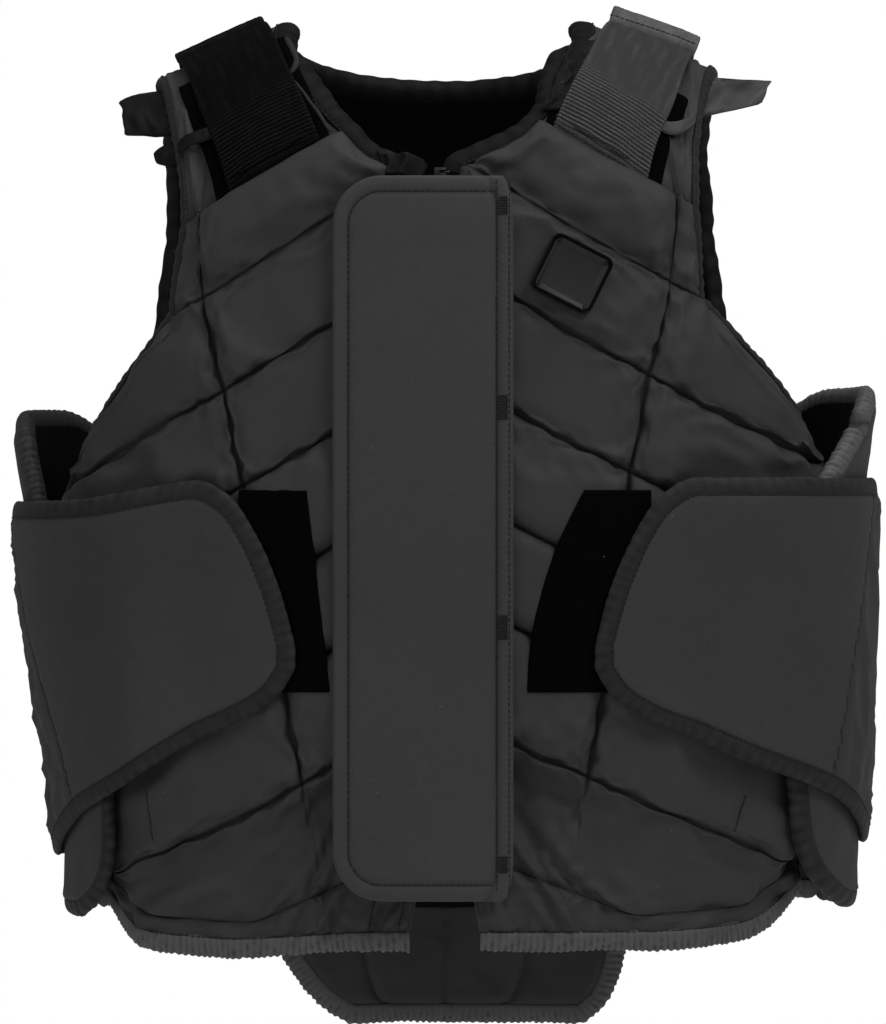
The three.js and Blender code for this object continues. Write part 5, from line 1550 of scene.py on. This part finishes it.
def makeNeckRolls(side):
    word = wordOf(side)
    for number, (marks, thick) in enumerate(neckRolls[word], 1):
        marks = upsample(np.array(marks, float)[:, None, :], 10, axes=(0,))[:, 0]
        angle, climb = seat(marks[:, 0], np.minimum(marks[:, 1], 8.0), 14.2)
        foot = lifted(angle, climb, 14.2 + 0.6 * waves(marks[:, 0], marks[:, 1], 161 + number, 14, 2))
        line, at, normals = resample(foot, 0.8, bodyNormal(angle, climb))
        along, normals = pathNormals(line, unit(normals))
        across = np.cross(along, normals)
        turn = np.linspace(0, math.tau, 12, endpoint=False)[None, :]
        size = thick * (0.25 + 0.75 * roundRise(np.minimum(at, at[-1] - at), 4.0))[:, None]
        size = size * (1 + 0.16 * waves(at[:, None], turn * 2, 165 + number, 9, 2))
        rings = line[:, None] + across[:, None] * (size * np.cos(turn))[..., None] * 1.25
        rings = rings + normals[:, None] * (size * np.sin(turn))[..., None]
        uv = np.stack([at[:, None] + 0 * turn, turn * thick + 0 * size], axis=-1)
        # Painted highlight on each roll's outward side, darker against the body
        highlightAndWear = 0.3 + 0.3 * np.sin(turn) + 0 * size
        piece = makeTube("neck_roll_" + word + "_" + str(number), rings, uv, {"highlightAndWear": highlightAndWear, "fold": 0 * highlightAndWear})
        finishPiece(piece, blackTape if side < 0 else shadedTape, "black_tape")


# Where the neck fold starts and ends below the shoulder line, how wide and how crumpled it is
neckFold = {"from": -3, "to": 36, "edge": 92.0, "slope": 0.52, "width": 13.5, "ragged": 1.6, "low": 15.0,
            "crease": 2.6, "wave": 1.0, "sunk": 0.9, "thick": 1.0}


def makeNeckFold():
    # Crumpled black cloth between the wearer's left strap and the neck
    top, end = neckFold["from"], neckFold["to"]
    down, share = np.linspace(top, end, 44)[:, None], np.linspace(0, 1, 26)[None, :]
    edge = neckFold["edge"] - (8 + down) * neckFold["slope"]
    ragged = neckFold["ragged"] * waves(down, 0 * down, 171, 16, 2)
    x = edge - (neckFold["width"] + ragged) * (1 - share) + 1.0
    angle, climb = seat(x, -down + 0 * x, 15.4)
    cloth = clothCoordinates(lifted(angle, climb, 15.4))
    u, v = cloth[..., 0], cloth[..., 1]
    gap = np.minimum(np.minimum(share, 1 - share) * 14, np.minimum(down - top, end - down))
    crumple = neckFold["crease"] * creases(u * 1.2, v * 0.6, 173, 26, 2.2) - neckFold["sunk"]
    crumple = crumple + neckFold["wave"] * waves(u, v, 175, 14, 2)
    base = neckFold["low"] + np.clip(crumple, -0.6, 2.8) * np.clip(gap / 3, 0, 1)
    lift = base + 0.3 + neckFold["thick"] * roundRise(gap, 1.2)
    # Painted highlight on the crumple's crests and painted shade in its hollows; the rim term is wear
    masks = {"highlightAndWear": np.clip(crumple / 2.2, 0, 1) * 0.8 + 0.7 * np.exp(-gap / 0.8),
             "fold": np.clip(-crumple, 0, 1)}
    makeSheet("neck_fold_left_cloth", lifted(angle, climb, base), lifted(angle, climb, lift), cloth, masks,
              deepTape, "black_tape", [], "gathered", ["front_panel_left_cloth"])


makeNeckFold()
for side in (-1, 1):
    makeNeckRolls(side)
    places, walked = makeStrap(side)
    makeHookTape(side, places, walked)
    makeKeeper(side, places, walked)
    makeTab(side)
print("straps, hook tapes, keepers and tabs ready")

# Loop patches that the wings close on
loop = {"top": 236, "height": 106, "inner": 60, "reach": 108, "low": 20.3, "thick": 1.4, "under": 2.5,
        "flare": {"right": 12, "left": 30}, "fromFlap": 7}


def makeLoopPatch(side):
    word = wordOf(side)
    down = spread(70, 0.08)[:, None]
    share = spread(40, 0.08)[None, :]
    flare = loop["flare"][word]
    inner = loop["inner"] + flare * (1 - down)
    if side > 0:
        inner = flap["right"] + loop["fromFlap"] + flare * (1 - down) ** 2
    x = side * mix(inner, loop["reach"], share)
    z = -loop["top"] - loop["height"] * down + 0 * x
    angle, climb = seat(x, z, loop["low"])
    gap = np.minimum(np.minimum(np.abs(x - x[:, :1]), np.abs(x[:, -1:] - x)),
                     np.minimum(down, 1 - down) * loop["height"])
    lift = loop["low"] + 0.3 + loop["thick"] * roundRise(gap, 1.4) + 0.3 * waves(x, z, 151 + side, 26, 2)
    lift -= 0.4 * np.exp(-((gap - 3) / 0.8) ** 2)
    makeSheet("loop_patch_" + word + "_pile", lifted(angle, climb, loop["low"] - loop["under"]),
              lifted(angle, climb, lift), np.stack([x, z], axis=-1), None, pileTape, "loop_pile",
              ["loop_patch_" + word], "laid", ["front_panel_" + word + "_cloth"])


for side in (-1, 1):
    makeLoopPatch(side)
print("loop patches ready")

# Rubber patch on the wearer's left chest, in line with the quilting
patch = {"out": 71, "down": 123, "wide": 35, "high": 33, "thick": 2.6, "rim": 1.7, "sunk": 0.7, "turn": 26.5,
         "corner": 4.5, "low": 20.6, "bevel": 0.22, "line": 0.35, "lineIn": 2.4, "lineWide": 0.5}


def selectFaces(mesh, test):
    bpy.ops.object.mode_set(mode="OBJECT")
    for part in (mesh.vertices, mesh.edges, mesh.polygons):
        part.foreach_set("select", np.zeros(len(part), bool))
    for face in mesh.polygons:
        face.select = test(face)
    bpy.ops.object.mode_set(mode="EDIT")


def makeRubber(name="patchRubber"):
    material = bpy.data.materials.new(name)
    material.use_nodes = True
    tree = material.node_tree
    shader = tree.nodes["Principled BSDF"]
    place = addNode(tree, "ShaderNodeTexCoord").outputs["Object"]
    patches = useGroup(tree, fadedPatches, Place=place, Broad=60.0, Fine=900.0)
    specks = useGroup(tree, lint, Place=place, Spacing=900.0, Amount=0.02)
    base = mixColour(tree, patches.outputs["Fade"], grey(0.010), grey(0.015))
    base = mixColour(tree, calc(tree, "MULTIPLY", specks.outputs[0], 0.3), base, grey(0.2))
    tree.links.new(base, shader.inputs["Base Color"])
    rough = calc(tree, "MULTIPLY_ADD", patches.outputs["Mottle"], 0.2, 0.38)
    tree.links.new(rough, shader.inputs["Roughness"])
    bump = addNode(tree, "ShaderNodeBump", Strength=1.0, Distance=0.00004, Height=patches.outputs["Mottle"])
    tree.links.new(bump.outputs[0], shader.inputs["Normal"])
    return material


def makePatch():
    bpy.ops.object.select_all(action="DESELECT")
    bpy.ops.mesh.primitive_cube_add(size=1, location=(0, 0, 0))
    piece = bpy.context.object
    piece.name = "label_patch_rubber"
    piece.data.name = "label_patch_rubber"
    piece.scale = (patch["wide"] * mm, patch["high"] * mm, patch["thick"] * mm)
    bpy.ops.object.transform_apply(location=True, rotation=True, scale=True)
    mesh = piece.data
    for face in mesh.polygons:
        face.select = False
    bpy.ops.object.mode_set(mode="EDIT")
    bpy.context.tool_settings.mesh_select_mode = (False, True, False)
    bpy.ops.object.mode_set(mode="OBJECT")
    for edge in mesh.edges:
        a, b = (mesh.vertices[k].co for k in edge.vertices)
        edge.select = abs(a.z - b.z) > patch["thick"] * mm / 2
    bpy.ops.object.mode_set(mode="EDIT")
    bpy.ops.mesh.bevel(offset=patch["corner"] * mm, segments=6, affect="EDGES")
    bpy.context.tool_settings.mesh_select_mode = (False, False, True)
    selectFaces(mesh, lambda face: face.normal.z > 0.9)
    bpy.ops.mesh.inset(thickness=patch["rim"] * mm, depth=0)
    line = patch["line"]
    # The sunk field, then a fine raised line within it
    for thick, deep in ((line, -patch["sunk"]), (patch["lineIn"], 0), (0.3, line), (patch["lineWide"], 0),
                        (0.3, -line)):
        bpy.ops.mesh.inset(thickness=thick * mm, depth=deep * mm)
    bpy.ops.object.mode_set(mode="OBJECT")
    soften = piece.modifiers.new("softEdges", "BEVEL")
    soften.width, soften.segments, soften.angle_limit = patch["bevel"] * mm, 2, math.radians(35)
    bpy.ops.object.modifier_apply(modifier="softEdges")
    angle, climb = seat(np.array([patch["out"]]), np.array([-patch["down"]]), patch["low"])
    centre = hangAskew(piece.name, lifted(angle, climb, patch["low"] + patch["thick"] / 2))[0] * mm
    out = bodyNormal(angle, climb)[0]
    turn = math.radians(patch["turn"])
    level = np.array([math.cos(turn), 0, -math.sin(turn)])
    across = unit(level - out * (out[0] * math.cos(turn) - out[2] * math.sin(turn)))
    up = np.cross(out, across)
    rows = [[across[k], up[k], out[k], centre[k]] for k in range(3)]
    piece.matrix_world = Matrix(rows + [[0, 0, 0, 1]])
    bpy.ops.object.transform_apply(location=True, rotation=True, scale=True)
    bpy.ops.object.shade_smooth_by_angle(angle=math.radians(40))
    return piece


finishPiece(makePatch(), makeRubber(), "patch_rubber", "label_patch")
print("patch ready")

# Zip under its cover: a tape with moulded teeth, seen at its two ends
zipper = {"top": 67, "bottom": 396, "reach": 5.6, "low": 9.2, "thick": 1.4, "pitch": 2.6, "toothWide": 3.4,
          "toothLong": 1.5, "toothHigh": 2.2, "toothBevel": 0.22, "toothSunk": 0.4, "toothOut": 0.9}


def makeTooth():
    # One tooth: a small block with a narrower tip, its edges bevelled
    bpy.ops.object.select_all(action="DESELECT")
    bpy.ops.mesh.primitive_cube_add(size=1, location=(0, 0, 0))
    tooth = bpy.context.object
    tooth.scale = (zipper["toothWide"], zipper["toothHigh"], zipper["toothLong"])
    bpy.ops.object.transform_apply(location=False, rotation=False, scale=True)
    bpy.ops.object.mode_set(mode="EDIT")
    bpy.ops.mesh.select_mode(type="FACE")
    selectFaces(tooth.data, lambda face: face.normal.x > 0.9)
    bpy.ops.transform.resize(value=(1, 0.8, 0.6), center_override=(zipper["toothWide"] / 2, 0, 0))
    bpy.ops.mesh.select_all(action="SELECT")
    bpy.ops.mesh.bevel(offset=zipper["toothBevel"], segments=1, affect="EDGES")
    bpy.ops.mesh.select_all(action="SELECT")
    bpy.ops.mesh.quads_convert_to_tris()
    bpy.ops.object.mode_set(mode="OBJECT")
    points = np.array([list(point.co) for point in tooth.data.vertices])
    faces = np.array([list(face.vertices) for face in tooth.data.polygons])
    bpy.data.objects.remove(tooth)
    return points, faces


def makeZip():
    down = np.linspace(zipper["top"], zipper["bottom"], 160)[:, None]
    share = np.linspace(-1, 1, 17)[None, :]
    x = share * zipper["reach"] + 0.01 + 0 * down
    z = -down + 0 * x
    angle, climb = seat(x, z, zipper["low"])
    lift = zipper["low"] + zipper["thick"] * (0.8 + 0.2 * np.cos(share * math.pi / 2)) + 0 * x
    makeSheet("front_zip_tape", lifted(angle, climb, zipper["low"]), lifted(angle, climb, lift),
              np.stack([x, z], axis=-1), None, blackTape, "black_tape", ["front_zip"], "stretched",
              ["front_panel_right_cloth", "front_panel_left_cloth"])
    points, faces = makeTooth()
    allPoints, allFaces = [], []
    heights = np.arange(zipper["top"] + 1.5, zipper["bottom"] - 1, zipper["pitch"] / 2)
    angle, climb = seat(0 * heights + 0.01, -heights, zipper["low"])
    raised = zipper["low"] + zipper["thick"] + zipper["toothHigh"] / 2 - zipper["toothSunk"]
    centres = lifted(angle, climb, raised)
    for number, (centre, out) in enumerate(zip(centres, bodyNormal(angle, climb))):
        side = 1 if number % 2 else -1
        up = unit(np.array([0, 0, 1.0]) - out * out[2])
        axes = np.array([np.cross(up, out) * -side, out, up])
        allFaces.append((faces if side > 0 else faces[:, ::-1]) + len(points) * number)
        allPoints.append(centre + points @ axes + np.array([side * zipper["toothOut"], 0, 0]))
    chain = makeMesh("front_zip_teeth", np.concatenate(allPoints), np.concatenate(allFaces))
    finishPiece(chain, makeRubber("zipTeeth"), "black_tape")


# The end of the neck tape: its places across and down, its slope, its height and its two folds
foldedEnd = {"across": (-36, -11), "down": -57.5, "slope": 4.5, "tall": 12, "low": 12.6, "fold": 1.9,
             "foldsAt": (0.22, 0.62), "thick": 1.1}


def makeFoldedEnd():
    # It is folded over the top of the zip
    down = np.linspace(0, 1, 26)[:, None]
    share = np.linspace(0, 1, 44)[None, :]
    tall = foldedEnd["tall"]
    x = mix(*foldedEnd["across"], share) + 1.2 * np.sin(down * 5)
    z = foldedEnd["down"] - foldedEnd["slope"] * share - down * tall - 1.2 * np.sin(share * 7 + down)
    angle, climb = seat(np.where(np.abs(x) < 0.01, 0.01, x), z + 0 * x, 14)
    first, second = foldedEnd["foldsAt"]
    ridge = np.exp(-((share - first - 0.1 * down) / 0.07) ** 2)
    ridge = ridge + 0.8 * np.exp(-((share - second + 0.08 * down) / 0.08) ** 2)
    lift = foldedEnd["low"] + foldedEnd["fold"] * ridge + 1.0 * share + 0.5 * waves(x, z, 171, 14, 2)
    gap = np.minimum(np.minimum(share, 1 - share) * 24, np.minimum(down, 1 - down) * tall)
    cloth = np.stack([x + 0 * z, z + 0 * x], axis=-1)
    outer = lifted(angle, climb, lift + 0.4 + foldedEnd["thick"] * roundRise(gap, 1.5))
    # Painted highlight on the ridges of the folds and painted shade between them; the rim term is wear
    masks = {"highlightAndWear": np.clip(ridge, 0, 1) * 0.7 + 0.3 * np.exp(-gap / 1.2), "fold": np.clip(0.4 - ridge, 0, 1)}
    makeSheet("neck_binding_right_end", lifted(angle, climb, lift), outer, cloth, masks, deepTape,
              "black_tape", [], "folded", ["front_zip_tape"])


makeZip()
makeFoldedEnd()
print("zip ready")

# Camera, light and floor
def addArea(name, place, target, size, power):
    light = bpy.data.lights.new(name, "AREA")
    light.shape, light.size, light.size_y, light.energy = "RECTANGLE", size[0], size[1], power
    lamp = bpy.data.objects.new(name, light)
    lamp.location = place
    aim = np.array(target) - np.array(place)
    lamp.rotation_euler = Vector(aim).to_track_quat("-Z", "Y").to_euler()
    bpy.context.scene.collection.objects.link(lamp)


view = {"distance": 5.0, "across": -0.001, "height": -0.2475, "lens": 327.7}
cameraData = bpy.data.cameras.new("camera")
cameraData.lens = view["lens"]
cameraData.sensor_width = 36
cameraData.clip_end = 60
camera = bpy.data.objects.new("camera", cameraData)
camera.location = (view["across"], -view["distance"], view["height"])
camera.rotation_euler = (math.pi / 2, 0, 0)
bpy.context.scene.collection.objects.link(camera)
bpy.context.scene.camera = camera

addArea("keyLight", (2.2, -2.1, 2.7), (0, 0, -0.2), (1.5, 1.5), 58)
addArea("fillLight", (-2.6, -2.8, 0.9), (0, 0, -0.3), (2.2, 2.2), 22)
addArea("topLight", (0.2, -0.4, 2.6), (0, 0, -0.2), (1.8, 1.2), 24)
world = bpy.data.worlds.new("world")
world.use_nodes = True
bpy.context.scene.world = world
paper = world.node_tree.nodes["Background"]
paper.inputs[0].default_value = (1, 1, 1, 1)
seen = world.node_tree.nodes.new("ShaderNodeLightPath")
strength = world.node_tree.nodes.new("ShaderNodeMapRange")
strength.inputs[3].default_value = 0.13  # what lights the vest
strength.inputs[4].default_value = 1.0  # what shows behind it
world.node_tree.links.new(seen.outputs["Is Camera Ray"], strength.inputs[0])
world.node_tree.links.new(strength.outputs[0], paper.inputs[1])

bpy.ops.object.select_all(action="DESELECT")
bpy.ops.mesh.primitive_plane_add(size=8, location=(0, 0, -0.75))
floor = bpy.context.object
floor.name = "floor"
floorPaint = bpy.data.materials.new("floorPaint")
floorPaint.use_nodes = True
floorPaint.node_tree.nodes["Principled BSDF"].inputs["Base Color"].default_value = grey(0.86)
floorPaint.node_tree.nodes["Principled BSDF"].inputs["Roughness"].default_value = 0.8
floor.data.materials.append(floorPaint)
bpy.context.scene.view_settings.view_transform = "Standard"
print("stage ready")
